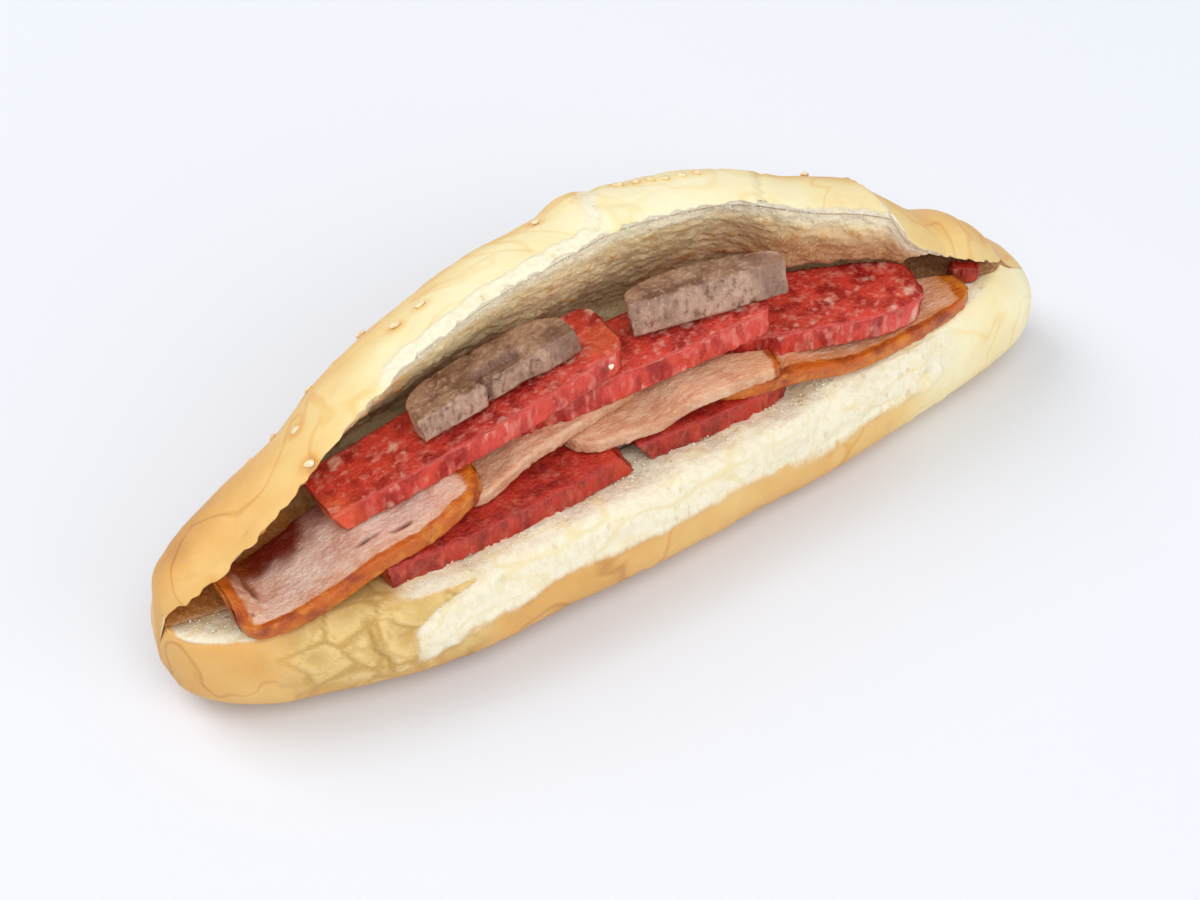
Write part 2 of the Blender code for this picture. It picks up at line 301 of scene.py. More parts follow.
def capped_marks(marks: dict) -> dict:
    """Repeats the first and last stations' marks at the ends that were added."""
    return {name: np.concatenate([value[:1], value, value[-1:]]) for name, value in marks.items()}


def evenly(lines: Array, count: int, ends: bool = False) -> Array:
    """Spaces points evenly along each of many lines.

    Args:
        lines: (stations, points, values), whose first two values are y and z.
        count: how many points each line gets.
        ends: whether the last point of the line is kept; a run that another follows leaves it out.

    Returns:
        (stations, count, values).
    """
    steps = np.linalg.norm(np.diff(lines[..., :2], axis=1), axis=-1)
    travel = np.concatenate([np.zeros((len(lines), 1)), np.cumsum(steps, axis=1)], axis=1)
    share = np.arange(count) / (count - 1 if ends else count)
    result = np.empty((len(lines), count, lines.shape[2]))
    for s, line in enumerate(lines):
        wanted = share * travel[s, -1]
        for k in range(lines.shape[2]):
            result[s, :, k] = np.interp(wanted, travel[s], line[:, k])
    return result


# --- shaders


class Shade:
    """Builds a node tree: adds nodes, sets what is constant and joins what isn't."""

    def __init__(self, tree: NodeTree) -> None:
        """Takes the tree to build in, a material's or a group's."""
        self.tree = tree

    def feed(self, node: bpy.types.Node, feeds: dict) -> bpy.types.Node:
        """Gives a node its inputs.

        Args:
            node: the node.
            feeds: input name or number to a socket or a constant.

        Returns:
            The same node.
        """
        for key, value in feeds.items():
            if isinstance(value, Socket):
                self.tree.links.new(value, node.inputs[key])
            else:
                node.inputs[key].default_value = value
        return node

    def add(self, kind: str, feeds: dict | None = None, **settings: object) -> bpy.types.Node:
        """Adds a node.

        Args:
            kind: the node's type, without ShaderNode.
            feeds: input name or number to a socket or a constant.
            settings: properties of the node.

        Returns:
            The new node.
        """
        node = self.tree.nodes.new("ShaderNode" + kind)
        for key, value in settings.items():
            setattr(node, key, value)
        return self.feed(node, feeds or {})

    def group(self, tree: NodeTree, feeds: dict) -> bpy.types.Node:
        """Places a shared effect."""
        return self.add("Group", feeds, node_tree=tree)

    def mark(self, name: str) -> Socket:
        """The value of one of the mesh's own attributes."""
        return self.add("Attribute", attribute_name=name).outputs["Fac"]

    def sum(self, operation: str, a: object, b: object = 0.0, c: object = 0.0) -> Socket:
        """One step of arithmetic on two or three values."""
        return self.add("Math", {0: a, 1: b, 2: c}, operation=operation).outputs[0]

    def between(self, value: object, low: object, high: object, to: tuple = (0.0, 1.0)) -> Socket:
        """Carries value smoothly from its range low..high to the range to."""
        feeds = {"Value": value, 1: low, 2: high, 3: to[0], 4: to[1]}
        return self.add("MapRange", feeds, interpolation_type="SMOOTHSTEP").outputs["Result"]

    def mix(self, share: object, a: object, b: object) -> Socket:
        """Mixes two colours by a share."""
        return self.add("Mix", {0: share, 6: a, 7: b}, data_type="RGBA").outputs[2]

    def stretched(self, place: object, by: object) -> Socket:
        """A place with each axis scaled, which draws a pattern out along the others."""
        return self.add("VectorMath", {0: place, 1: by}, operation="MULTIPLY").outputs[0]

    def noise(self, place: object, scale: object, detail: float, **more: float) -> Socket:
        """A soft random value from 0 to 1."""
        feeds = {"Vector": place, "Scale": scale, "Detail": detail}
        return self.add("TexNoise", feeds | more).outputs["Fac"]

    def swayed(self, value: object, noise: object, reach: float, middle: float = 0.5) -> Socket:
        """A value moved up and down by a noise about its middle."""
        return self.sum("MULTIPLY_ADD", self.sum("SUBTRACT", noise, middle), reach, value)

    def veins(self, noise: object, width: float, strength: float) -> Socket:
        """Thin lines where a noise passes its middle."""
        gap = self.sum("ABSOLUTE", self.sum("SUBTRACT", noise, 0.5))
        return self.between(gap, width, 0.0, (0.0, strength))

    def relief(self, height: object, distance: float, strength: float) -> Socket:
        """The normal of a surface with a fine relief, whose distance is in metres."""
        feeds = {"Height": height, "Distance": distance, "Strength": strength}
        return self.add("Bump", feeds).outputs["Normal"]


def colour(r: float, g: float, b: float) -> tuple:
    """A colour as Blender's sockets take it."""
    return (r, g, b, 1.0)


class Effects:
    """The effects that several finishes share, each one group of nodes."""

    def __init__(self) -> None:
        """Builds the groups."""
        self.mottle = self.make_mottle()
        self.flecks = self.make_flecks()
        self.streaks = self.make_streaks()
        self.torn = self.make_torn()

    def patches(self, shade: Shade, place: object, size: float, span: tuple, colours: tuple) -> Socket:
        """Two colours in patches of a size in metres, mixed over a span of their noise."""
        feeds = {"Vector": place, "Size": size, "Low": span[0], "High": span[1]}
        feeds |= {"Color A": colours[0], "Color B": colours[1]}
        return shade.group(self.mottle, feeds).outputs["Color"]

    def specks(
        self, shade: Shade, place: object, spacing: float, reach: float, soft: float, ragged: float
    ) -> Socket:
        """Where flecks are: spacing and ragged are in metres, reach and soft in spacings."""
        feeds = {"Vector": place, "Spacing": spacing, "Reach": reach, "Soft": soft, "Ragged": ragged}
        return shade.group(self.flecks, feeds).outputs["Mask"]

    def fibres(self, shade: Shade, place: object, size: float, stretch: tuple) -> Socket:
        """The height of fibres of a size in metres."""
        feeds = {"Vector": place, "Size": size, "Stretch": stretch}
        return shade.group(self.streaks, feeds).outputs["Height"]

    def bare(self, shade: Shade, place: object, colours: tuple, lace: float) -> object:
        """Torn crumb in three colours: white, between its fibres and skin."""
        feeds = dict(zip(("White", "Shade", "Skin"), colours)) | {"Vector": place, "Lace": lace}
        return shade.group(self.torn, feeds).outputs

    @staticmethod
    def start(name: str, inputs: dict, outputs: dict) -> tuple:
        """Starts a group.

        Args:
            name: the group's name.
            inputs: type of socket to the names of the inputs of that type.
            outputs: the same for its outputs.

        Returns:
            A builder for its tree, the sockets of its inputs by name, and its output node.
        """
        tree = bpy.data.node_groups.new(name, "ShaderNodeTree")
        for side, sockets in (("INPUT", inputs), ("OUTPUT", outputs)):
            for kind, names in sockets.items():
                for socket in names:
                    tree.interface.new_socket(socket, in_out=side, socket_type="NodeSocket" + kind)
        return Shade(tree), tree.nodes.new("NodeGroupInput").outputs, tree.nodes.new("NodeGroupOutput")

    def make_mottle(self) -> NodeTree:
        """Two colours in soft uneven patches.

        Returns:
            The group, with Color and Mask out.
        """
        inputs = {"Vector": ("Vector",), "Float": ("Size", "Low", "High"), "Color": ("Color A", "Color B")}
        shade, given, outward = self.start("mottle", inputs, {"Color": ("Color",), "Float": ("Mask",)})
        noise = shade.noise(given["Vector"], shade.sum("DIVIDE", 1.0, given["Size"]), 3.0)
        mask = shade.between(noise, given["Low"], given["High"])
        shade.feed(outward, {"Mask": mask, "Color": shade.mix(mask, given["Color A"], given["Color B"])})
        return shade.tree

    def make_flecks(self) -> NodeTree:
        """Separate irregular flecks, such as fat in minced meat or the pores of crumb.

        Returns:
            The group, with Mask out.
        """
        inputs = {"Vector": ("Vector",), "Float": ("Spacing", "Reach", "Soft", "Ragged")}
        shade, given, outward = self.start("flecks", inputs, {"Float": ("Mask",)})
        place = given["Vector"]
        scale = shade.sum("DIVIDE", 1.0, given["Spacing"])
        finer = shade.sum("MULTIPLY", scale, 1.7)
        noise = shade.add("TexNoise", {"Vector": place, "Scale": finer, "Detail": 2.0})
        feeds = {0: noise.outputs["Color"], 1: (0.5, 0.5, 0.5)}
        centred = shade.add("VectorMath", feeds, operation="SUBTRACT")
        pushed = shade.add("VectorMath", {0: centred.outputs[0], 3: given["Ragged"]}, operation="SCALE")
        strayed = shade.add("VectorMath", {0: place, 1: pushed.outputs[0]}, operation="ADD")
        spots = shade.add("TexVoronoi", {"Vector": strayed.outputs[0], "Scale": scale})
        size = shade.add("SeparateColor", {0: spots.outputs["Color"]}).outputs[0]
        reach = shade.sum("MULTIPLY", given["Reach"], shade.sum("MULTIPLY_ADD", size, 1.2, 0.2))
        inner = shade.sum("SUBTRACT", reach, given["Soft"])
        shade.feed(outward, {"Mask": shade.between(spots.outputs["Distance"], reach, inner)})
        return shade.tree

    def make_streaks(self) -> NodeTree:
        """Fibres and knife marks that run one way.

        Returns:
            The group, with Height out.
        """
        inputs = {"Vector": ("Vector", "Stretch"), "Float": ("Size",)}
        shade, given, outward = self.start("streaks", inputs, {"Float": ("Height",)})
        place = shade.stretched(given["Vector"], given["Stretch"])
        height = shade.noise(place, shade.sum("DIVIDE", 1.0, given["Size"]), 3.0, Roughness=0.6)
        shade.feed(outward, {"Height": height})
        return shade.tree

    def make_torn(self) -> NodeTree:
        """Bare soft crumb, drawn out into fibres where it was pulled apart.

        Returns:
            The group, with Color and Height out.
        """
        inputs = {"Vector": ("Vector",), "Color": ("White", "Shade", "Skin"), "Float": ("Lace",)}
        shade, given, outward = self.start("torn", inputs, {"Color": ("Color",), "Float": ("Height",)})
        place = given["Vector"]
        fibre = shade.noise(shade.stretched(place, (1.0, 1.0, 0.5)), 560.0, 4.0, Roughness=0.6)
        fuzz = shade.noise(place, 1500.0, 3.0)
        soft = shade.noise(place, 150.0, 3.0)
        holes = self.specks(shade, shade.stretched(place, (1.0, 1.0, 0.45)), 0.0021, 0.34, 0.26, 0.0009)
        lace = shade.sum("MULTIPLY", shade.between(soft, 0.42, 0.6), given["Lace"])
        lace = shade.sum("MULTIPLY", holes, lace)
        mixed = shade.mix(shade.between(fibre, 0.56, 0.36, (0.0, 0.4)), given["White"], given["Shade"])
        mixed = shade.mix(shade.between(soft, 0.50, 0.74, (0.0, 0.5)), mixed, given["Skin"])
        mixed = shade.mix(lace, mixed, given["Shade"])
        height = shade.sum("MULTIPLY_ADD", fibre, 0.9, shade.sum("MULTIPLY", fuzz, 0.45))
        shade.feed(outward, {"Color": mixed, "Height": shade.sum("MULTIPLY_ADD", lace, -0.6, height)})
        return shade.tree


def soft_body(weight: float, scale: float, radius: tuple = (1.0, 0.2, 0.1)) -> dict:
    """The shader's settings for food that light goes into, by a scale in metres."""
    return {"Subsurface Weight": weight, "Subsurface Scale": scale, "Subsurface Radius": radius}


def new_material(name: str, settings: dict) -> tuple:
    """Starts a material.

    Args:
        name: the material's name.
        settings: the shader's constant inputs.

    Returns:
        The material, a builder for its tree, its shader, and the Object coordinates.
    """
    material = bpy.data.materials.new(name)
    material.use_nodes = True
    shade = Shade(material.node_tree)
    shader = shade.feed(material.node_tree.nodes["Principled BSDF"], settings)
    return material, shade, shader, shade.add("TexCoord").outputs["Object"]


@dataclass(frozen=True)
class CrustFinish:
    """Soft pale crust that bakes from cream through gold to brown, with white crumb where rolls tore apart.

    Attributes:
        white: the crust that saw no heat.
        cream: barely baked crust.
        straw: lightly baked crust.
        gold: well baked crust.
        brown: the darkest edges and folds.
        torn: bare crumb on the torn side.
        torn_shade: between its fibres.
        skin: the yellow skin that shows in its creases.
        flour: the fine pale bloom over everything.
        crest: a painted highlight on the ridges of wrinkled crust.
        foil: its facets.
        fold_shade: painted shade in its valleys.
    """

    white: tuple = colour(0.95, 0.87, 0.60)
    cream: tuple = colour(0.93, 0.78, 0.43)
    straw: tuple = colour(0.87, 0.61, 0.24)
    gold: tuple = colour(0.79, 0.43, 0.12)
    brown: tuple = colour(0.50, 0.21, 0.05)
    torn: tuple = colour(0.94, 0.87, 0.67)
    torn_shade: tuple = colour(0.82, 0.68, 0.43)
    # skin: the yellow skin left in patches on the torn crumb; the same yellow is painted shade in its creases
    # and in the dimple.
    skin: tuple = colour(0.89, 0.75, 0.43)
    flour: tuple = colour(1.0, 0.95, 0.80)
    crest: tuple = colour(0.84, 0.60, 0.24)
    foil: tuple = colour(0.64, 0.40, 0.12)
    fold_shade: tuple = colour(0.42, 0.22, 0.055)

    def build(self, effects: Effects) -> Material:
        """Makes the material.

        Args:
            effects: the shared groups.

        Returns:
            A material that reads the attributes bake, torn, foil and fold.
        """
        look = soft_body(0.1, 0.002, (1.0, 0.6, 0.3)) | {"Specular IOR Level": 0.2}
        material, shade, shader, place = new_material("crust", look)
        blotch = shade.noise(place, 62.0, 4.0)
        fine = shade.noise(place, 1100.0, 2.0)
        bake = shade.swayed(shade.swayed(shade.mark("bake"), blotch, 0.30), fine, 0.24)
        bake = shade.sum("ADD", bake, shade.veins(shade.noise(place, 36.0, 2.0, Distortion=0.7), 0.035, 0.15))
        stages = ((0, self.white), (0.22, self.cream), (0.46, self.straw), (0.72, self.gold), (1, self.brown))
        crust = self.ramp(shade, bake, stages)
        # Wrinkled crust: painted highlight on its ridges and painted shade in its valleys.
        fold_shade = shade.mark("fold_shade")
        wrinkled = self.ramp(shade, fold_shade, ((0, self.crest), (0.45, self.foil), (1, self.fold_shade)))
        base = shade.mix(shade.mark("foil"), crust, wrinkled)
        bare = effects.bare(shade, place, (self.torn, self.torn_shade, self.skin), 0.8)
        # Painted yellow shade in the creases of the torn crumb and in the dimple.
        creased = shade.mix(shade.between(fold_shade, 0.3, 0.95, (0.0, 0.8)), bare["Color"], self.skin)
        ragged = shade.swayed(shade.mark("torn"), bare["Height"], 0.45, middle=0.65)
        open_share = shade.between(ragged, 0.15, 0.85)
        base = shade.mix(open_share, base, creased)
        base = shade.mix(shade.between(fine, 0.45, 0.75, (0.0, 0.11)), base, self.flour)
        skin = shade.sum("MULTIPLY", shade.noise(place, 420.0, 6.0), 0.55)
        height = shade.sum("MULTIPLY_ADD", bare["Height"], shade.sum("MULTIPLY", open_share, 1.3), skin)
        roughness = shade.between(open_share, 0.0, 1.0, (0.5, 0.88))
        normal = shade.relief(height, 0.0006, 0.65)
        shade.feed(shader, {"Base Color": base, "Roughness": roughness, "Normal": normal})
        return material

    @staticmethod
    def ramp(shade: Shade, value: Socket, stops: tuple) -> Socket:
        """Turns a value into a colour.

        Args:
            shade: the builder.
            value: from 0 to 1.
            stops: (position, colour) in order.

        Returns:
            The colour.
        """
        node = shade.add("ValToRGB", {0: value})
        elements = node.color_ramp.elements
        elements[0].position, elements[0].color = stops[0]
        elements[1].position, elements[1].color = stops[-1]
        for position, value_there in stops[1:-1]:
            elements.new(position).color = value_there
        return node.outputs["Color"]


@dataclass(frozen=True)
class CrumbFinish:
    """The open crumb inside the roll.

    Attributes:
        light: the raised walls of the crumb.
        shadow: the inside of its pores.
        pale: the whiter crumb by the cut edges.
        pale_shade: between its fibres.
        bloom: the tips of its finest fibres.
        painted_light_and_stain: painted shade, warm with the filling's reflected red, under the hanging crumb
            at the right and towards the back of the mouth, and grease stains from the filling.
        amber_shade: painted shade, dark amber, over the crumb in the left end of the mouth under the flap.
    """

    light: tuple = colour(0.95, 0.76, 0.42)
    shadow: tuple = colour(0.70, 0.40, 0.13)
    pale: tuple = colour(0.95, 0.87, 0.66)
    pale_shade: tuple = colour(0.84, 0.68, 0.42)
    bloom: tuple = colour(1.0, 0.93, 0.74)
    painted_light_and_stain: tuple = colour(0.44, 0.18, 0.055)
    amber_shade: tuple = colour(0.62, 0.24, 0.03)

    def build(self, effects: Effects) -> Material:
        """Makes the material.

        Args:
            effects: the shared groups.

        Returns:
            A material that reads the attributes pit, pale, stain and amber.
        """
        look = soft_body(0.15, 0.003, (1.0, 0.6, 0.3)) | {"Roughness": 0.85, "Specular IOR Level": 0.2}
        material, shade, shader, place = new_material("crumb", look)
        holes = effects.specks(shade, place, 0.0016, 0.40, 0.30, 0.0022)
        fine = shade.noise(place, 1300.0, 3.0)
        deep = shade.sum("MAXIMUM", shade.mark("pit"), shade.sum("MULTIPLY", holes, 0.35))
        base = shade.mix(shade.between(deep, 0.05, 0.95), self.light, self.shadow)
        bare = effects.bare(shade, place, (self.pale, self.pale_shade, self.pale), 0.6)
        base = shade.mix(shade.mark("pale"), base, bare["Color"])
        # Painted shade, warm with reflected red, and grease stains from the filling.
        base = shade.mix(shade.sum("MULTIPLY", shade.mark("painted_light_and_stain"), 0.9), base, self.painted_light_and_stain)
        # Painted dark amber shade in the left end of the mouth.
        base = shade.mix(shade.mark("amber_shade"), base, self.amber_shade)
        base = shade.mix(shade.between(fine, 0.45, 0.72, (0.0, 0.25)), base, self.bloom)
        height = shade.sum("MULTIPLY_ADD", holes, -0.5, shade.sum("MULTIPLY", fine, 0.8))
        shade.feed(shader, {"Base Color": base, "Normal": shade.relief(height, 0.0007, 0.7)})
        return material


@dataclass(frozen=True)
class SalamiFinish:
    """Coarse bright red salami with soft flecks of fat, moist on its cut faces.

    Attributes:
        name: the material's name.
        red: the lean meat.
        deep: its darker patches.
        fat: the flecks.
        blush: meat smeared with fat.
        glow: a painted orange highlight, where the top of a slice would shine.
        share: how strongly the flecks show.
    """

    name: str = "salami"
    red: tuple = colour(0.72, 0.055, 0.031)
    deep: tuple = colour(0.38, 0.010, 0.006)
    fat: tuple = colour(0.92, 0.52, 0.40)
    blush: tuple = colour(0.82, 0.22, 0.16)
    glow: tuple = colour(0.94, 0.15, 0.045)
    share: float = 0.75

    def build(self, effects: Effects) -> Material:
        """Makes the material.

        Args:
            effects: the shared groups.

        Returns:
            A material that reads the attributes side and stain.
        """
        look = soft_body(0.12, 0.002, (1.0, 0.3, 0.2)) | {"Coat Weight": 0.12, "Coat Roughness": 0.3}
        material, shade, shader, place = new_material(self.name, look)
        squeeze = shade.between(shade.mark("side"), 0.0, 1.0, (1.0, 0.4))
        spot = shade.stretched(place, shade.add("CombineXYZ", {0: 1.0, 1: 1.0, 2: squeeze}).outputs[0])
        meat = effects.patches(shade, spot, 0.0050, (0.34, 0.60), (self.deep, self.red))
        smear = effects.patches(shade, spot, 0.0022, (0.48, 0.76), (meat, self.blush))
        large = effects.specks(shade, spot, 0.0066, 0.29, 0.27, 0.0058)
        small = effects.specks(shade, spot, 0.0027, 0.33, 0.30, 0.0030)
        small = shade.sum("MULTIPLY", small, self.share * 0.6)
        fat = shade.sum("MAXIMUM", shade.sum("MULTIPLY", large, self.share), small)
        base = shade.mix(fat, smear, self.fat)
        # Painted orange highlight where a slice is marked, at its ends.
        base = shade.mix(shade.sum("MULTIPLY", shade.mark("painted_light_and_stain"), 0.7), base, self.glow)
        streak = effects.fibres(shade, place, 0.0010, (1.0, 1.0, 0.35))
        roughness = shade.between(streak, 0.3, 0.7, (0.30, 0.55))
        normal = shade.relief(shade.sum("MULTIPLY_ADD", large, 0.2, streak), 0.0010, 0.8)
        shade.feed(shader, {"Base Color": base, "Roughness": roughness, "Normal": normal})
        return material


@dataclass(frozen=True)
class HamFinish:
    """Smoked ham: fibrous pink-beige flesh with a wet sheen and a glossy orange-brown rind.

    Attributes:
        name: the material's name.
        flesh: the paler flesh.
        rose: its pinker patches.
        sheen: the palest fibres, and a painted wet sheen in fine glints.
        painted_shade: painted shade in folds and slits, and under the flap at the back.
        rind: the smoked edge.
        ember: its brighter spots.
        scorched: its darkest spots.
        rind_depth: how far in from the edge the rind shows, in millimetres.
        smoked_depth: how much further in the flesh is smoked.
        glow: how much colour that flesh has taken.
    """

    name: str = "ham"
    flesh: tuple = colour(0.88, 0.64, 0.52)
    rose: tuple = colour(0.74, 0.42, 0.31)
    sheen: tuple = colour(0.96, 0.84, 0.76)
    painted_shade: tuple = colour(0.16, 0.012, 0.004)
    rind: tuple = colour(0.58, 0.12, 0.006)
    ember: tuple = colour(0.70, 0.22, 0.020)
    scorched: tuple = colour(0.32, 0.042, 0.004)
    rind_depth: float = 2.0
    smoked_depth: float = 5.0
    glow: float = 0.3

    def build(self, effects: Effects) -> Material:
        """Makes the material.

        Args:
            effects: the shared groups.

        Returns:
            A material that reads the attributes inset, in millimetres from the rind, and stain.
        """
        look = {"Coat Weight": 0.2, "Coat Roughness": 0.16, "Specular IOR Level": 0.3}
        look |= soft_body(0.2, 0.003, (1.0, 0.5, 0.35))
        material, shade, shader, place = new_material(self.name, look)
        fibre = effects.fibres(shade, place, 0.0013, (0.4, 1.0, 1.0))
        grain = shade.noise(place, 1500.0, 2.0)
        flesh = effects.patches(shade, place, 0.009, (0.36, 0.64), (self.rose, self.flesh))
        # Pale fibres, and painted glints of wet sheen.
        flesh = shade.mix(shade.between(fibre, 0.46, 0.72, (0.0, 0.55)), flesh, self.sheen)
        flesh = shade.mix(shade.between(grain, 0.5, 0.75, (0.0, 0.35)), flesh, self.sheen)
        # Painted shade in folds, slits and under the flap.
        flesh = shade.mix(shade.mark("painted_light_and_stain"), flesh, self.painted_shade)
        inset = shade.swayed(shade.mark("inset"), shade.noise(place, 260.0, 3.0), 1.6)
        rind = shade.between(inset, self.rind_depth + 0.3, self.rind_depth - 0.3)
        smoked = shade.between(inset, self.rind_depth + self.smoked_depth, self.rind_depth, (0.0, self.glow))
        flesh = shade.mix(smoked, flesh, self.ember)
        skin = effects.patches(shade, place, 0.0075, (0.34, 0.56), (self.scorched, self.rind))
        skin = effects.patches(shade, place, 0.0055, (0.46, 0.70), (skin, self.ember))
        base = shade.mix(rind, flesh, skin)
        roughness = shade.between(fibre, 0.3, 0.7, (0.28, 0.48))
        normal = shade.relief(shade.sum("MULTIPLY_ADD", grain, 0.7, fibre), 0.0008, 0.7)
        shade.feed(shader, {"Base Color": base, "Roughness": roughness, "Normal": normal})
        return material


@dataclass(frozen=True)
class GreyMeatFinish:
    """Boiled grey-brown meat, matt and close-grained, with small pits and darker veins.

    Attributes:
        name: the material's name.
        body: the paler meat.
        dull: its browner patches.
        pale: its palest grain, on the cut fronts.
        vein: gristle lines, and painted shade in its pits.
        plum: where it is darker and purple, and the painted shade in its tear.
    """

    name: str = "grey_meat"
    body: tuple = colour(0.47, 0.275, 0.18)
    dull: tuple = colour(0.20, 0.090, 0.050)
    pale: tuple = colour(0.70, 0.47, 0.34)
    vein: tuple = colour(0.12, 0.045, 0.030)
    plum: tuple = colour(0.19, 0.080, 0.050)

    def build(self, effects: Effects) -> Material:
        """Makes the material.

        Args:
            effects: the shared groups.

        Returns:
            A material that reads the attributes side and stain.
        """
        look = soft_body(0.1, 0.002, (1.0, 0.5, 0.3)) | {"Roughness": 0.5, "Coat Weight": 0.08}
        material, shade, shader, place = new_material(self.name, look)
        fibre = effects.fibres(shade, place, 0.0015, (1.0, 1.0, 0.45))
        meat = effects.patches(shade, place, 0.008, (0.36, 0.64), (self.dull, self.body))
        meat = shade.mix(shade.sum("MULTIPLY", shade.mark("side"), 0.35), meat, self.pale)
        meat = shade.mix(shade.between(fibre, 0.50, 0.70, (0.0, 0.6)), meat, self.pale)
        streak = shade.sum("MULTIPLY_ADD", shade.mark("side"), 0.5, 0.3)
        meat = shade.mix(shade.sum("MULTIPLY", shade.between(fibre, 0.46, 0.32), streak), meat, self.dull)
        # Darker purple patches, and painted shade in the tear.
        meat = shade.mix(shade.sum("MULTIPLY", shade.mark("painted_light_and_stain"), 0.8), meat, self.plum)
        pits = effects.specks(shade, place, 0.0046, 0.15, 0.12, 0.0040)
        vein = shade.veins(shade.noise(place, 130.0, 5.0, Distortion=0.8), 0.012, 0.35)
        # Gristle lines, and painted shade in the pits.
        base = shade.mix(shade.sum("MAXIMUM", vein, shade.sum("MULTIPLY", pits, 0.4)), meat, self.vein)
        normal = shade.relief(shade.sum("MULTIPLY_ADD", pits, -0.8, fibre), 0.0011, 0.8)
        shade.feed(shader, {"Base Color": base, "Normal": normal})
        return material


@dataclass(frozen=True)
class PlainFinish:
    """A fine-grained finish for seeds and crumbs.

    Attributes:
        name: the material's name.
        light: its paler colour.
        dark: its darker colour.
        roughness: how dull it is.
    """

    name: str
    light: tuple
    dark: tuple
    roughness: float

    def build(self, effects: Effects) -> Material:
        """Makes the material.

        Args:
            effects: the shared groups.

        Returns:
            The material.
        """
        look = soft_body(0.1, 0.001) | {"Roughness": self.roughness}
        material, shade, shader, place = new_material(self.name, look)
        feeds = {"Vector": place, "Size": 0.0012, "Low": 0.35, "High": 0.65}
        tone = shade.group(effects.mottle, feeds | {"Color A": self.dark, "Color B": self.light}).outputs
        shade.feed(shader, {"Base Color": tone["Color"], "Normal": shade.relief(tone["Mask"], 0.0001, 0.3)})
        return material


# --- the roll


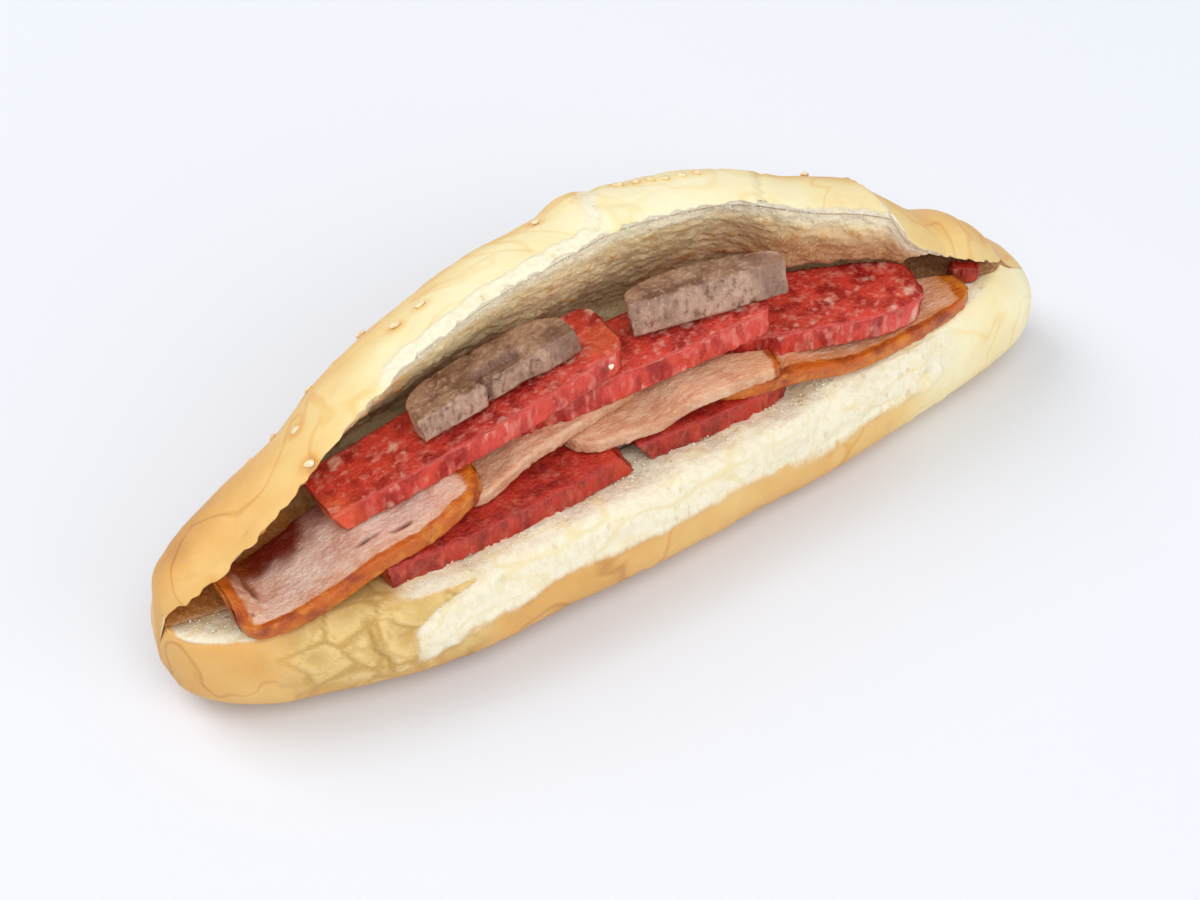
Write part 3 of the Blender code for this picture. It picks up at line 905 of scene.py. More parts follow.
@dataclass(frozen=True)
class RollForm:
    """The form of the roll: a closed roll whose upper half is turned open about its back.

    Attributes:
        mid_x: the middle of its length.
        half_length: from there to each tip.
        end_power: how blunt the tips are in plan.
        end_root: how round the tips are.
        equator: the height of its widest line.
        sink: how far the round underside would reach below the surface, and is pressed flat on it.
        base_square: how square the lower half is in section, where 2 is an oval.
        front_width: from the axis to the front.
        back_width: from the axis to the back.
        crown_rise: from the widest line to the top, closed.
        cut: the height of the slit.
        opening: how far the flap is raised, in degrees.
        bend: how far from the hinge the bread is bent rather than turned.
        lip_rise: how far above the slit the flap's crust starts, in degrees.
        hinge_wall: how thick the bread is at the back of the mouth.
        floor: the height of the crumb pressed flat by the filling.
        rim: from the lower lip to that flat crumb.
        bulge: how much torn crumb hangs over the filling.
        bulge_y: where it hangs, across the roll.
        bulge_z: how low it hangs.
        mouth_depth: how much of the mouth's depth is reached, from 0 to 1.
        groove: what is left of the slit where it runs out.
        wrap: how far the flap's torn edge turns in under it.
    """

    mid_x: float = 4.2
    half_length: float = 125.6
    end_power: float = 3.6
    end_root: float = 2.2
    equator: float = 19.0
    sink: float = 0.9
    base_square: float = 3.2
    front_width: Course = Course((
        (-121, 30.0), (-85, 30.7), (-60, 32.6), (-30, 31.6), (10, 29.9), (55, 27.0), (90, 25.2),
        (110, 26.5), (130, 33.0),
    ))
    back_width: Course = Course(((-121, 32.0), (20, 32.0), (90, 29.0), (130, 25.0)))
    crown_rise: Course = Course((
        (-121, 39.0), (-112, 31.0), (-98, 26.6), (-80, 25.0), (-65, 27.8), (-40, 31.2), (-20, 33.4),
        (0, 34.4), (9, 36.7), (25, 35.0), (52, 33.4), (66, 31.0), (76, 30.8), (81.5, 31.0), (84, 32.0),
        (98, 28.8), (106, 30.0), (113, 28.5), (119, 23.5), (124, 20.0), (130, 14.0),
    ))
    cut: Course = Course(((-127, 30.0), (-60, 32.0), (0, 33.0), (60, 33.5), (127, 35.0)))
    opening: Course = Course((
        (-121, 30), (-110, 33), (-92, 42), (-70, 53), (-45, 60.5), (-15, 65.5), (10, 67.5), (35, 65.5),
        (60, 57), (81.5, 49), (84, 39), (92, 30), (104, 21), (115, 9), (123, 0), (130, 0),
    ))
    bend: float = 9.0
    lip_rise: float = 2.0
    hinge_wall: Course = Course((
        (-127, 6), (-100, 8), (-60, 9), (40, 9), (58, 16), (88, 16), (104, 10), (127, 6)
    ))
    floor: Course = Course(((-127, 29.5), (-60, 30.6), (44, 30.6), (62, 34.0), (100, 34.2), (127, 34.6)))
    rim: Course = Course(((-127, 7.0), (60, 7.0), (96, 3.0), (127, 3.0)))
    bulge: Course = Course(((-127, 0), (44, 0), (58, 1), (86, 1), (98, 0), (127, 0)))
    bulge_y: Course = Course(((50, 6.5), (59, 4.6), (70, 1.2), (77, -1.4), (90, -3.5)))
    bulge_z: Course = Course(((50, 52.5), (59, 51.6), (77, 50.2), (90, 46.0)))
    mouth_depth: Course = Course(((-127, 0.05), (-119.5, 1), (102, 1), (119, 0), (127, 0)))
    groove: float = 0.5
    wrap: Course = Course(((-127, 1.0), (-90, 1.2), (-60, 2.4), (127, 2.4)))

    def tips(self) -> tuple:
        """The places of its two tips along the roll."""
        return self.mid_x - self.half_length, self.mid_x + self.half_length

    def fullness(self, x: Array) -> Array:
        """How far the roll has grown to its full section at x, from 0 at a tip to 1."""
        out = np.abs((x - self.mid_x) / self.half_length)
        return np.clip(1 - out**self.end_power, 0, 1) ** (1 / self.end_root)

    def room(self, x: Array) -> Array:
        """How much of a hidden side's depth there is bread for, less towards the tips, (stations, 1)."""
        return np.clip(1.8 * self.fullness(x) - 0.3, 0, 1)[:, None]

    def cut_angle(self, x: Array) -> Array:
        """The angle of the slit round the closed roll, in radians."""
        return np.arcsin((self.cut_height(x) - self.equator) / self.rise(x))

    def rise(self, x: Array) -> Array:
        """From the widest line to the top of the closed roll."""
        return np.maximum(self.crown_rise.at(x) * self.fullness(x) ** 0.7, 1e-6)

    def cut_height(self, x: Array) -> Array:
        """The height of the slit."""
        return np.minimum(self.cut.at(x), self.equator + 0.85 * self.rise(x))

    def closed(self, x: Array, angle: Array) -> tuple:
        """The outline of the closed roll.

        Args:
            x: places along the roll.
            angle: 0 is the front, a quarter turn the crown and minus a quarter turn the underside.

        Returns:
            y and z.
        """
        across, up = np.cos(angle), np.sin(angle)
        full = self.fullness(x)
        width = np.where(across > 0, self.front_width.at(x), self.back_width.at(x)) * full
        square = 2 / self.base_square
        depth = (self.equator + self.sink) * full**0.6
        low_y = -width * np.sign(across) * np.abs(across) ** square
        low_z = np.maximum(self.equator - depth * np.abs(up) ** square, 0.0)
        high_z = self.equator + self.rise(x) * up
        return np.where(up >= 0, -width * across, low_y), np.where(up >= 0, high_z, low_z)

    def hinge(self, x: Array) -> tuple:
        """The line at the back that the flap turns about, as y and z."""
        return self.back_width.at(x) * self.fullness(x) * np.cos(self.cut_angle(x)), self.cut_height(x)

    def raised(self, x: Array, y: Array, z: Array) -> tuple:
        """Carries points of the closed roll up with the flap, and less so right beside the hinge.

        Args:
            x: places along the roll.
            y: where they were across it.
            z: how high they were.

        Returns:
            The raised y and z.
        """
        hy, hz = self.hinge(x)
        dy, dz = y - hy, z - hz
        turn = np.radians(self.opening.at(x)) * smooth(np.hypot(dy, dz) / self.bend + 0.15)
        return hy + dy * np.cos(turn) + dz * np.sin(turn), hz - dy * np.sin(turn) + dz * np.cos(turn)

    def crown(self, x: Array, angle: Array) -> tuple:
        """The flap's crust, as y and z."""
        return self.raised(x, *self.closed(x, angle))

    def crown_point(self, x: float, angle: float) -> tuple:
        """One point of the flap's crust, as x, y and z."""
        return (x, *(float(v) for v in self.crown(x, angle)))

    def lip_angle(self, x: Array) -> Array:
        """The angle at which the flap's crust ends."""
        return self.cut_angle(x) + math.radians(self.lip_rise)

    def mouth(self, x: Array, sunk: float = 0.0) -> Array:
        """The faces of the slit, from the flap's lip round the back of the mouth to the lower lip.

        Args:
            x: places along the roll, (stations,).
            sunk: how much deeper in the bread the faces lie, in millimetres.

        Returns:
            (stations, 6, 2) corners.
        """
        lip = np.stack(self.crown(x, self.lip_angle(x)), -1)
        low = np.stack(self.closed(x, self.cut_angle(x)), -1)
        hy, hz = self.hinge(x)
        wall = np.minimum(self.hinge_wall.at(x), 0.45 * hy)
        floor = np.minimum(self.floor.at(x), self.cut_height(x) - 0.3)
        turn = np.maximum(np.radians(self.opening.at(x)), 0.12)
        upper = np.stack((hy - wall * np.cos(turn), hz + wall * np.sin(turn)), -1)
        lower = np.stack((hy - wall, floor), -1)
        hang = toward(upper, lip, 0.4)
        bulge = self.bulge.at(x)[:, None]
        torn = np.stack((self.bulge_y.at(x), self.bulge_z.at(x)), -1)
        hang = toward(hang, torn, bulge)
        roof = np.stack((upper[:, 0], torn[:, 1] + 0.6), -1)
        upper = toward(upper, roof, bulge)
        rim = np.minimum(self.rim.at(x), 0.4 * self.front_width.at(x) * self.fullness(x))
        edge = np.stack((low[:, 0] + rim, floor), -1)
        corners = np.stack((lip, hang, upper, lower, edge, low), 1)
        sunk = self.room(x) * sunk
        corners[:, 1] += np.array((0.8, 1.0)) * sunk
        corners[:, 2] += np.array((1.2, 0.7)) * sunk
        corners[:, 3] += np.array((1.0, -1.0)) * sunk
        corners[:, 4] += np.array((0.0, -1.0)) * sunk
        t = np.array((0, 5, 8, 10, 14, 16)) / 16
        shallow = toward(lip[:, None], low[:, None], t[None, :, None])
        inward = self.groove * self.fullness(x)[:, None] * np.sin(np.pi * t)
        shallow[..., 0] += inward + sunk * np.sin(np.pi * t)
        return toward(shallow, corners, self.mouth_depth.at(x)[:, None, None])

    def lower_edge(self, x: Array) -> Array:
        """The torn shoulder of the base, from the crumb that the filling presses flat to the lower lip.

        Args:
            x: places along the roll, (stations,).

        Returns:
            (stations, 3, 2) corners; the lip itself would come next.
        """
        back, edge, low = (self.mouth(x)[:, k] for k in (3, 4, 5))
        deep = self.mouth_depth.at(x)[:, None]
        inside = toward(edge, back, 0.3) - np.array((0.0, 0.7)) * deep
        near = toward(edge, back, 0.12) + np.array((0.0, 0.5)) * deep
        crest = toward(edge, low, 0.5) + np.array((0.0, 1.1)) * deep
        return np.stack((inside, near, crest), 1)

    def flap_edge(self, x: Array) -> Array:
        """Where the flap's torn edge ends, under it.

        Args:
            x: places along the roll, (stations,).

        Returns:
            (stations, 1, 2) places.
        """
        lip, hang = (self.mouth(x)[:, k] for k in (0, 1))
        gap = np.linalg.norm(hang - lip, axis=1)
        share = np.minimum(self.wrap.at(x) / np.maximum(gap, 1e-6), 0.6)
        return toward(lip, hang, share[:, None])[:, None]

    def stations(self, step: float, start: float, end: float) -> Array:
        """Places along the roll, closer together towards its tips and over the tear.

        Args:
            step: their spacing along the middle.
            start: the first place.
            end: the last place.

        Returns:
            The places, in order.
        """
        count = int(self.half_length * 2 / step * 0.92)
        u = np.linspace(-1, 1, count)
        x = self.mid_x + self.half_length * np.sin(np.pi / 2 * (0.45 * u + 0.55 * u * np.abs(u) ** 0.2))
        x = np.concatenate([x[(x > start) & (x < end)], np.arange(80.4, 84.8, 0.4), (start, end)])
        x = np.unique(np.round(x, 3))
        keep = np.concatenate([[True], np.diff(x) > 0.2])
        keep[-1] = True
        return x[keep]


FORM = RollForm()


@dataclass(frozen=True)
class SesameSeeds:
    """The sesame seeds on the crown, pressed into the crust.

    Attributes:
        length: a seed's length.
        width: its width.
        height: its height.
        raised: how far its middle stands out of the crust.
        count: how many there are.
        shown: (x, degrees) of those that show from the front.
        spread: how widely the others are scattered along the roll.
        ends: how far out they reach.
        band: the angles that they lie between, in degrees.
        apart: the least distance between two of them, a degree counting as per_degree.
        cracks: places along the flap that they keep clear of.
    """

    length: float = 3.1
    width: float = 1.9
    height: float = 1.1
    raised: float = 0.25
    count: int = 52
    shown: tuple = (
        (-77, 67), (-80, 40), (-47, 54), (-39.5, 53), (-2.5, 60), (21, 58), (25.5, 57), (29, 56), (32.5, 54),
        (36.5, 54), (40.5, 55),
    )
    spread: float = 42.0
    ends: float = 88.0
    band: tuple = (84.0, 128.0)
    apart: float = 5.5
    per_degree: float = 0.45
    cracks: tuple = (8, 46)

    def places(self) -> list:
        """Where the seeds are.

        Returns:
            (x, angle, spin) of each, the angles in radians.
        """
        rng = random.Random(4)
        found = list(self.shown)
        while len(found) < self.count:
            x = rng.gauss(0, self.spread)
            angle = rng.uniform(*self.band)
            if abs(x) > self.ends or any(abs(x - at) < 5 for at in self.cracks):
                continue
            gaps = (math.hypot(x - other, (angle - far) * self.per_degree) for other, far in found)
            if all(gap > self.apart for gap in gaps):
                found.append((x, angle))
        return [(x, math.radians(angle), rng.uniform(0, math.pi)) for x, angle in found]

    def spots(self) -> Array:
        """The seeds' places in space, (count, 3)."""
        return np.array([FORM.crown_point(x, angle) for x, angle, _ in self.places()])

    def make(self, finish: PlainFinish, effects: Effects) -> Piece:
        """Makes all the seeds as one piece of separate closed ovals.

        Args:
            finish: what they look like.
            effects: the shared groups.

        Returns:
            The piece.
        """
        every = bmesh.new()
        for x, angle, spin in self.places():
            near = ((x, angle), (x + 2, angle), (x, angle + 0.06))
            here, further, turned = (Vector(FORM.crown_point(*place)) for place in near)
            normal = (further - here).cross(turned - here).normalized()
            if normal.z < 0 and normal.y < 0:
                normal.negate()
            turn = normal.to_track_quat("Z", "X").to_matrix().to_4x4() @ Matrix.Rotation(spin, 4, "Z")
            at = (here + normal * self.raised - Vector(ORIGIN)) * MM
            seed = bmesh.ops.create_uvsphere(every, u_segments=12, v_segments=8, radius=0.5)["verts"]
            for vert in seed:
                narrowing = 1 - 0.75 * (vert.co.x - 0.05)
                vert.co.y *= narrowing
                vert.co.z *= 0.5 + 0.5 * narrowing
                x, y, z = vert.co
                vert.co = Vector((x * self.length, y * self.width, z * self.height)) * MM
            bmesh.ops.transform(every, matrix=Matrix.Translation(at) @ turn, verts=seed)
        obj = linked("sesame_seeds", meshed("sesame_seeds", every), finish.build(effects))
        obj.data.shade_smooth()
        return obj


@dataclass(frozen=True)
class Split:
    """A split across the flap.

    Attributes:
        at: its place along the roll where it meets the lip.
        slope: how far it moves along for each degree up the flap.
        depth: how deep it is.
        width: how wide it is.
        white: how much bare crumb shows in it.
    """

    at: float
    slope: float
    depth: float
    width: float
    white: float


class Run(Enum):
    """The runs of points that make up a ring of the crust, in order."""

    FRONT = "over the lower lip to the middle of the underside"
    UNDER = "from there to the hinge"
    BACK = "up to the crown"
    CROWN = "over the flap's lip to its torn edge"
    HIDDEN = "round the mouth, under the crumb"


@dataclass(frozen=True)
class Crust:
    """The roll's outside: its base, its torn front side, its back and the raised flap.

    Attributes:
        step: the spacing of its stations.
        counts: how many points each run of a ring has.
        crown_from: the angle at which the finer points start, in degrees.
        wall: how far under the crumb the hidden run lies.
        splits: the splits across the flap.
        tear_at: the place along the roll of the step where the flap tore at the right.
        dimple: (x, height) of the dimple in the right end.
        facets: (size, height) of the facets in the wrinkled crust on the left.
        folds: (depth, ((x, angle), ...)) of the folds between them.
        bare_from: (x, angle) where the golden crust ends and bare crumb begins on the torn side.
        skin_to: (x, angle) down to which yellow skin is left at the left end of the bare crumb.
    """

    step: float = 0.72
    counts: tuple = ((Run.FRONT, 102), (Run.UNDER, 38), (Run.BACK, 22), (Run.CROWN, 98), (Run.HIDDEN, 18))
    crown_from: float = 128.0
    wall: float = 2.3
    splits: tuple = (Split(5.0, 0.25, 0.45, 2.6, 0.75), Split(48.3, 0.24, 0.6, 0.9, 0.3))
    tear_at: float = 82.6
    dimple: tuple = (83.3, 23.4)
    facets: tuple = ((14.0, 2.4), (7.5, 1.3), (4.0, 0.4))
    folds: tuple = (
        (0.8, ((-74, -10), (-78, 11), (-78.5, 28))),
        (0.5, ((-94, -2), (-98.5, 14))),
        (0.5, ((-68, 15), (-72, 22))),
        (0.5, ((-87, 23), (-93, 17))),
    )
    bare_from: Course = Course((
        (-70, -8), (-62, -3), (-50, 2), (-30, 5), (17, 4), (50, 0), (75, 1), (95, 8), (106, 24)
    ))
    skin_to: Course = Course(((-70, 11), (-61.5, 20), (-50.5, 26), (-46, 30)))

    def section(self, x: Array) -> tuple:
        """Lays out the rings.

        Args:
            x: the stations.

        Returns:
            (stations, ring, 3) points, (stations, ring) angles in degrees and each ring point's run. Past
            the lower lip the angles go on to 3 more than the slit's, and past the flap's to 3 less.
        """
        slit, lip = FORM.cut_angle(x), FORM.lip_angle(x)
        under = np.full_like(slit, -math.pi / 2)
        crown = np.full_like(slit, math.radians(self.crown_from))
        rim = self.marked(FORM.lower_edge(x), np.degrees(slit)[:, None] + np.array((3, 2, 1)))
        edge = self.marked(FORM.flap_edge(x), np.degrees(lip)[:, None] - np.array((3,)))
        deep = FORM.room(x) * FORM.mouth_depth.at(x)[:, None]
        behind = FORM.flap_edge(x) + (np.array((1.5, 1.9)) * deep)[:, None]
        hidden = np.concatenate([FORM.flap_edge(x), behind, FORM.mouth(x, self.wall)[:, 1:5]], 1)
        lines = {
            Run.FRONT: np.concatenate([rim, self.arc(x, slit, under, FORM.closed)], 1),
            Run.UNDER: self.arc(x, under, -math.pi - slit, FORM.closed),
            Run.BACK: self.arc(x, math.pi - slit, crown, FORM.crown),
            Run.CROWN: np.concatenate([self.arc(x, crown, lip, FORM.crown), edge], 1),
            Run.HIDDEN: self.marked(hidden, np.full((1, 1), -999.0)),
        }
        runs = {run: evenly(lines[run], count) for run, count in self.counts}
        runs[Run.FRONT] = self.rounded(runs[Run.FRONT], np.degrees(slit), 40, 7)
        runs[Run.CROWN] = self.frayed(x, runs[Run.CROWN], np.degrees(lip))
        ring = np.concatenate(list(runs.values()), 1)
        across = np.broadcast_to(x[:, None], ring.shape[:2])
        kinds = [run for run, count in self.counts for _ in range(count)]
        return np.stack((across, ring[..., 0], ring[..., 1]), -1), ring[..., 2], kinds

    @staticmethod
    def arc(x: Array, low: Array, high: Array, outline: object) -> Array:
        """Follows an outline of the roll between two angles, as y, z and the angle in degrees."""
        angle = toward(low[:, None], high[:, None], np.linspace(0, 1, 160))
        return np.stack((*outline(np.broadcast_to(x[:, None], angle.shape), angle), np.degrees(angle)), -1)

    @staticmethod
    def marked(line: Array, angle: Array) -> Array:
        """Joins y and z with the angles that stand for them."""
        return np.concatenate([line, np.broadcast_to(angle, line.shape[:2])[..., None]], -1)

    @staticmethod
    def rounded(line: Array, corner: Array, passes: int, reach: int) -> Array:
        """Rounds a line off about one corner.

        Args:
            line: (stations, points, 3).
            corner: the angle of the corner at each station.
            passes: how much it is rounded.
            reach: how many points to each side.

        Returns:
            The rounded line, its ends where they were.
        """
        order = np.arange(line.shape[1])
        at = np.abs(line[..., 2] - corner[:, None]).argmin(1)
        weight = np.clip(1.6 - np.abs(order - at[:, None]) / (reach * 1.6), 0, 1)[:, 1:-1, None] * 0.25
        result = line.copy()
        for _ in range(passes):
            pull = result[:, :-2, :2] + result[:, 2:, :2] - 2 * result[:, 1:-1, :2]
            result[:, 1:-1, :2] += weight * pull
        return result

    @staticmethod
    def frayed(x: Array, line: Array, lip: Array) -> Array:
        """Makes the flap's torn edge uneven.

        Args:
            x: the stations.
            line: (stations, points, 3) over the lip.
            lip: the lip's angle at each station.

        Returns:
            The line with its edge pushed in and out.
        """
        order = np.arange(line.shape[1])
        at = np.abs(line[..., 2] - lip[:, None]).argmin(1)
        near = hump(order - at[:, None], 3.0)
        angle = FORM.lip_angle(x)
        out = np.stack(FORM.crown(x, angle), -1) - np.stack(FORM.crown(x, angle + 0.05), -1)
        out /= np.maximum(np.linalg.norm(out, axis=1, keepdims=True), 1e-6)
        spots = np.stack((x, np.zeros_like(x), np.zeros_like(x)), -1)
        fray = 0.8 * GRAIN.at(spots, 1.5) + 0.6 * GRAIN.at(spots + 5, 3.6)
        fray *= 0.7 + 0.3 * within(x, -70, -55, 92, 104)
        fray *= FORM.mouth_depth.at(x)
        result = line.copy()
        result[..., :2] += near[..., None] * (out * fray[:, None])[:, None, :]
        return result

    def make(self, seeds: SesameSeeds, finish: CrustFinish, effects: Effects) -> Piece:
        """Makes the crust with its relief and the marks that colour it.

        Args:
            seeds: the seeds, round which the crust is a little browner.
            finish: what it looks like.
            effects: the shared groups.

        Returns:
            The piece.
        """
        left, right = FORM.tips()
        surface = CrustSurface(self, FORM.stations(self.step, left + 0.05, right - 0.05))
        surface.tear_side()
        surface.wrinkle()
        surface.roughen()
        surface.split()
        surface.dent()
        points = capped(surface.placed(), (left, right))
        return wrapped("roll_crust", points, surface.marks(seeds), finish.build(effects))


class CrustSurface:
    """The crust's relief, and the marks that colour it, at every place of its rings."""

    def __init__(self, crust: Crust, x: Array) -> None:
        """Lays out the rings.

        Args:
            crust: the crust whose surface it is.
            x: its stations.
        """
        self.crust = crust
        self.points, self.angle, kinds = crust.section(x)
        self.normal = normals_of(self.points, self.points - self.points.mean(axis=1, keepdims=True))
        on_run = {run: np.broadcast_to([kind is run for kind in kinds], self.angle.shape) for run in Run}
        self.front, self.under, self.back, self.crown, _ = on_run.values()
        self.flap = self.back | self.crown
        self.px = self.points[..., 0]
        self.along = self.points * (1, 0, 0)
        self.full = FORM.fullness(self.px)
        self.lift = 0.55 * GRAIN.layered(self.points, 26, 3) * self.full

    def tear_side(self) -> None:
        """Finds where the side was torn from the next roll, and where the crust on the left has wrinkled."""
        px, angle = self.px, self.angle
        slit = np.degrees(FORM.cut_angle(px))
        over = rising(angle, slit - 0.2, slit + 0.6) * self.front
        bare, skin = self.crust.bare_from.at(px), self.crust.skin_to.at(px)
        bare = bare + 3.0 * GRAIN.at(self.along + 5, 13) + 1.4 * GRAIN.at(self.along, 4.2)
        face = rising(angle, bare - 5, bare + 5) * rising(angle, skin + 1, skin - 1) * rising(px, -70, -66)
        torn = self.front * np.maximum(face * rising(px, 106, 80), over * within(px, -74, -62, 100, 116))
        torn = np.maximum(torn, over * within(px, -120, -117, -104, -98))
        foil = self.front * (1 - torn) * within(px, -106, -92, -54, -44)
        foil *= np.maximum(rising(angle, -30, -5), 0.4 * rising(px, -60, -80))
        self.bare, self.skin, self.torn, self.foil = bare, skin, torn, foil

    def wrinkle(self) -> None:
        """Crumples the crust on the left into facets, and lays the folds between them."""
        crumple, valley = np.zeros_like(self.px), np.zeros_like(self.px)
        for size, height in self.crust.facets:
            gap, border, own = GRAIN.cells(self.points * (0.9, 1, 0.8) + 40 + size, size)
            crumple += height * (gap - 0.5) * (0.4 + own)
            valley = np.maximum(valley, 0.25 * height * rising(border, 0.09, 0.02))
        for depth, line in self.crust.folds:
            xs, angles = zip(*line)
            gap = self.px - np.interp(self.angle, angles, xs) - 1.2 * GRAIN.at(self.points + 13, 5)
            span = within(self.angle, angles[0] - 6, angles[0], angles[-1], angles[-1] + 6)
            valley = np.maximum(valley, span * hump(gap, 0.8) * depth)
            crumple += span * depth * (0.9 * hump(gap - 2.0, 1.1) - 1.2 * hump(gap, 0.8))
        self.lift += self.foil * crumple * 0.75
        self.crumple, self.valley = crumple, valley

    def roughen(self) -> None:
        """Draws out the torn crumb, marks its edges, and grains and creases the crust round it."""
        px, points, front = self.px, self.points, self.front
        self.lift += front * within(px, -76, -70, -50, -44) * -0.9 * hump(self.angle - self.skin, 1.6)
        streak = GRAIN.at(points, (1.5, 1.5, 8.0))
        lumps, tufts = GRAIN.layered(points + 71, 9, 3), GRAIN.layered(points + 11, 3.6, 2)
        self.lift += self.torn * (0.15 * streak + 1.1 * lumps + 0.6 * tufts - 0.1)
        self.lift += front * 0.35 * hump(self.angle - self.bare, 2.0) * within(px, -66, -58, 88, 100)
        strip = front * (1 - self.torn) * within(px, -66, -56, 92, 104)
        self.lift += strip * 0.35 * GRAIN.at(points, (2.2, 2.2, 14.0))
        self.lift -= self.flap * 0.35 * GRAIN.creases(points * (0.6, 1, 1) + 23, 12, 6)

    def split(self) -> None:
        """Opens the splits across the flap, and roughens the step where it tore at the right."""
        px, angle, plane = self.px, self.angle, self.points * (0, 1, 1)
        self.opened = np.zeros_like(px)
        for one in self.crust.splits:
            wander = 0.9 * GRAIN.at(plane + one.at, 5) + 0.4 * GRAIN.at(plane - one.at, 1.8)
            gap = np.abs(px - one.at - one.slope * (angle - 26) - wander)
            span = within(angle, 20, 25, 100, 130) * self.flap
            white = span * one.white * rising(gap, one.width * 1.3, one.width * 0.5)
            self.opened = np.maximum(self.opened, white)
            groove = rising(gap, one.width * 1.5, one.width * 0.1)
            self.lift += span * (0.2 * hump(gap - one.width * 2, one.width) - one.depth * groove)
        self.tear = self.flap * hump(px - self.crust.tear_at, 1.3) * rising(angle, 120, 95)
        self.lift += self.tear * (0.5 * GRAIN.at(self.points, 1.6) - 0.3)

    def dent(self) -> None:
        """Presses the dimple into the smooth right end, with a low ring round it."""
        away = np.hypot(self.px - self.crust.dimple[0], self.points[..., 2] - self.crust.dimple[1])
        self.hollow = self.front * hump(away, 1.9)
        self.lift += self.front * 0.8 * hump(away - 4.0, 1.6) - 2.4 * self.hollow

    def placed(self) -> Array:
        """Puts the relief on, but nowhere under the crumb, at the torn edges' ends or where the roll stands.

        Returns:
            (stations, ring, 3) points.
        """
        order = np.arange(self.angle.shape[1])
        last = sum(count for run, count in self.crust.counts if run is not Run.HIDDEN)
        ease = np.clip(order / 6, 0, 1) * np.clip((last - order) / 4, 0, 1)
        lift = self.lift * ease * np.clip(self.full * 1.6, 0, 1)
        lift *= 1 - np.clip(-self.normal[..., 2], 0, 1) * rising(self.points[..., 2], 3.0, 0.5)
        placed = self.points + self.normal * lift[..., None]
        placed[..., 2] = np.maximum(placed[..., 2], 0.0)
        return placed

    def baked(self, seeds: SesameSeeds) -> Array:
        """Works out how far each place has baked.

        Args:
            seeds: the seeds, each in a browner halo.

        Returns:
            (stations, ring) values from 0, unbaked, to 1, brown.
        """
        px, angle = self.px, self.angle
        top = rising(angle, 46, 78)
        middle = 0.14 + 0.40 * top + 0.12 * rising(px, 44, 70)
        left = 0.62 + 0.08 * top + 0.12 * rising(px, -94, -108)
        bake = toward(middle, left, rising(px, -50, -96))
        bake = toward(bake, 0.44 + 0.14 * top, rising(px, 80, 84))
        bake = np.where(self.back, 0.70, bake)
        side = 0.58 + 0.14 * rising(angle, 0, -50) + 0.12 * rising(px, 30, -30)
        side = toward(side, 0.72, rising(px, -84, -104))
        side = toward(side, 0.14 + 0.34 * rising(angle, -5, -50), rising(px, 70, 90))
        bake = np.where(self.front, side, bake)
        bake = np.where(self.under, 0.66 + 0.10 * np.clip(-self.normal[..., 2], 0, 1), bake)
        bake += 0.14 * GRAIN.layered(self.points - 31, 18, 3)
        halo = np.zeros_like(px)
        for spot in seeds.spots():
            halo = np.maximum(halo, hump(np.linalg.norm(self.points - spot, axis=-1) - 1.6, 1.3))
        return bake + (0.22 * halo * self.flap + 0.30 * self.tear * rising(angle, 60, 80))

    def marks(self, seeds: SesameSeeds) -> dict:
        """Gathers what the finish reads.

        Args:
            seeds: the seeds, each in a browner halo.

        Returns:
            Attribute name to values, with the tips' own at both ends.
        """
        px, angle = self.px, self.angle
        lip = np.degrees(FORM.lip_angle(px))
        inside = self.crown * rising(angle, lip, lip - 0.8) * rising(px, 118, 106)
        inside *= 0.6 + 0.4 * rising(px, -76, -60)
        facet = lip + 9 + 1.6 * GRAIN.at(self.along + 27, 9) + 0.8 * GRAIN.at(self.along, 2.4)
        white_lip = self.crown * rising(angle, facet + 2, facet - 3) * within(px, -66, -50, 3, 9)
        step = self.tear * 0.9 * rising(angle, 75, 55)
        torn = np.maximum.reduce([self.torn, self.opened, inside, white_lip, step])
        # Painted shade, in the skin's yellow, along creases of the torn side and in the dimple.
        crease = self.front * torn * GRAIN.creases(self.points * (0.5, 1, 1.6) + 3, 11, 8)
        crease = np.maximum(crease, self.hollow)
        # Painted highlight on the ridges and painted shade in the valleys of the wrinkled crust.
        folded = np.maximum(0.6 * rising(self.crumple, 0.5, -1.1), self.valley)
        fold_shade = np.where(self.foil > 0.3, folded, crease)
        return capped_marks({"bake": self.baked(seeds), "torn": torn, "foil": self.foil, "fold_shade": fold_shade})


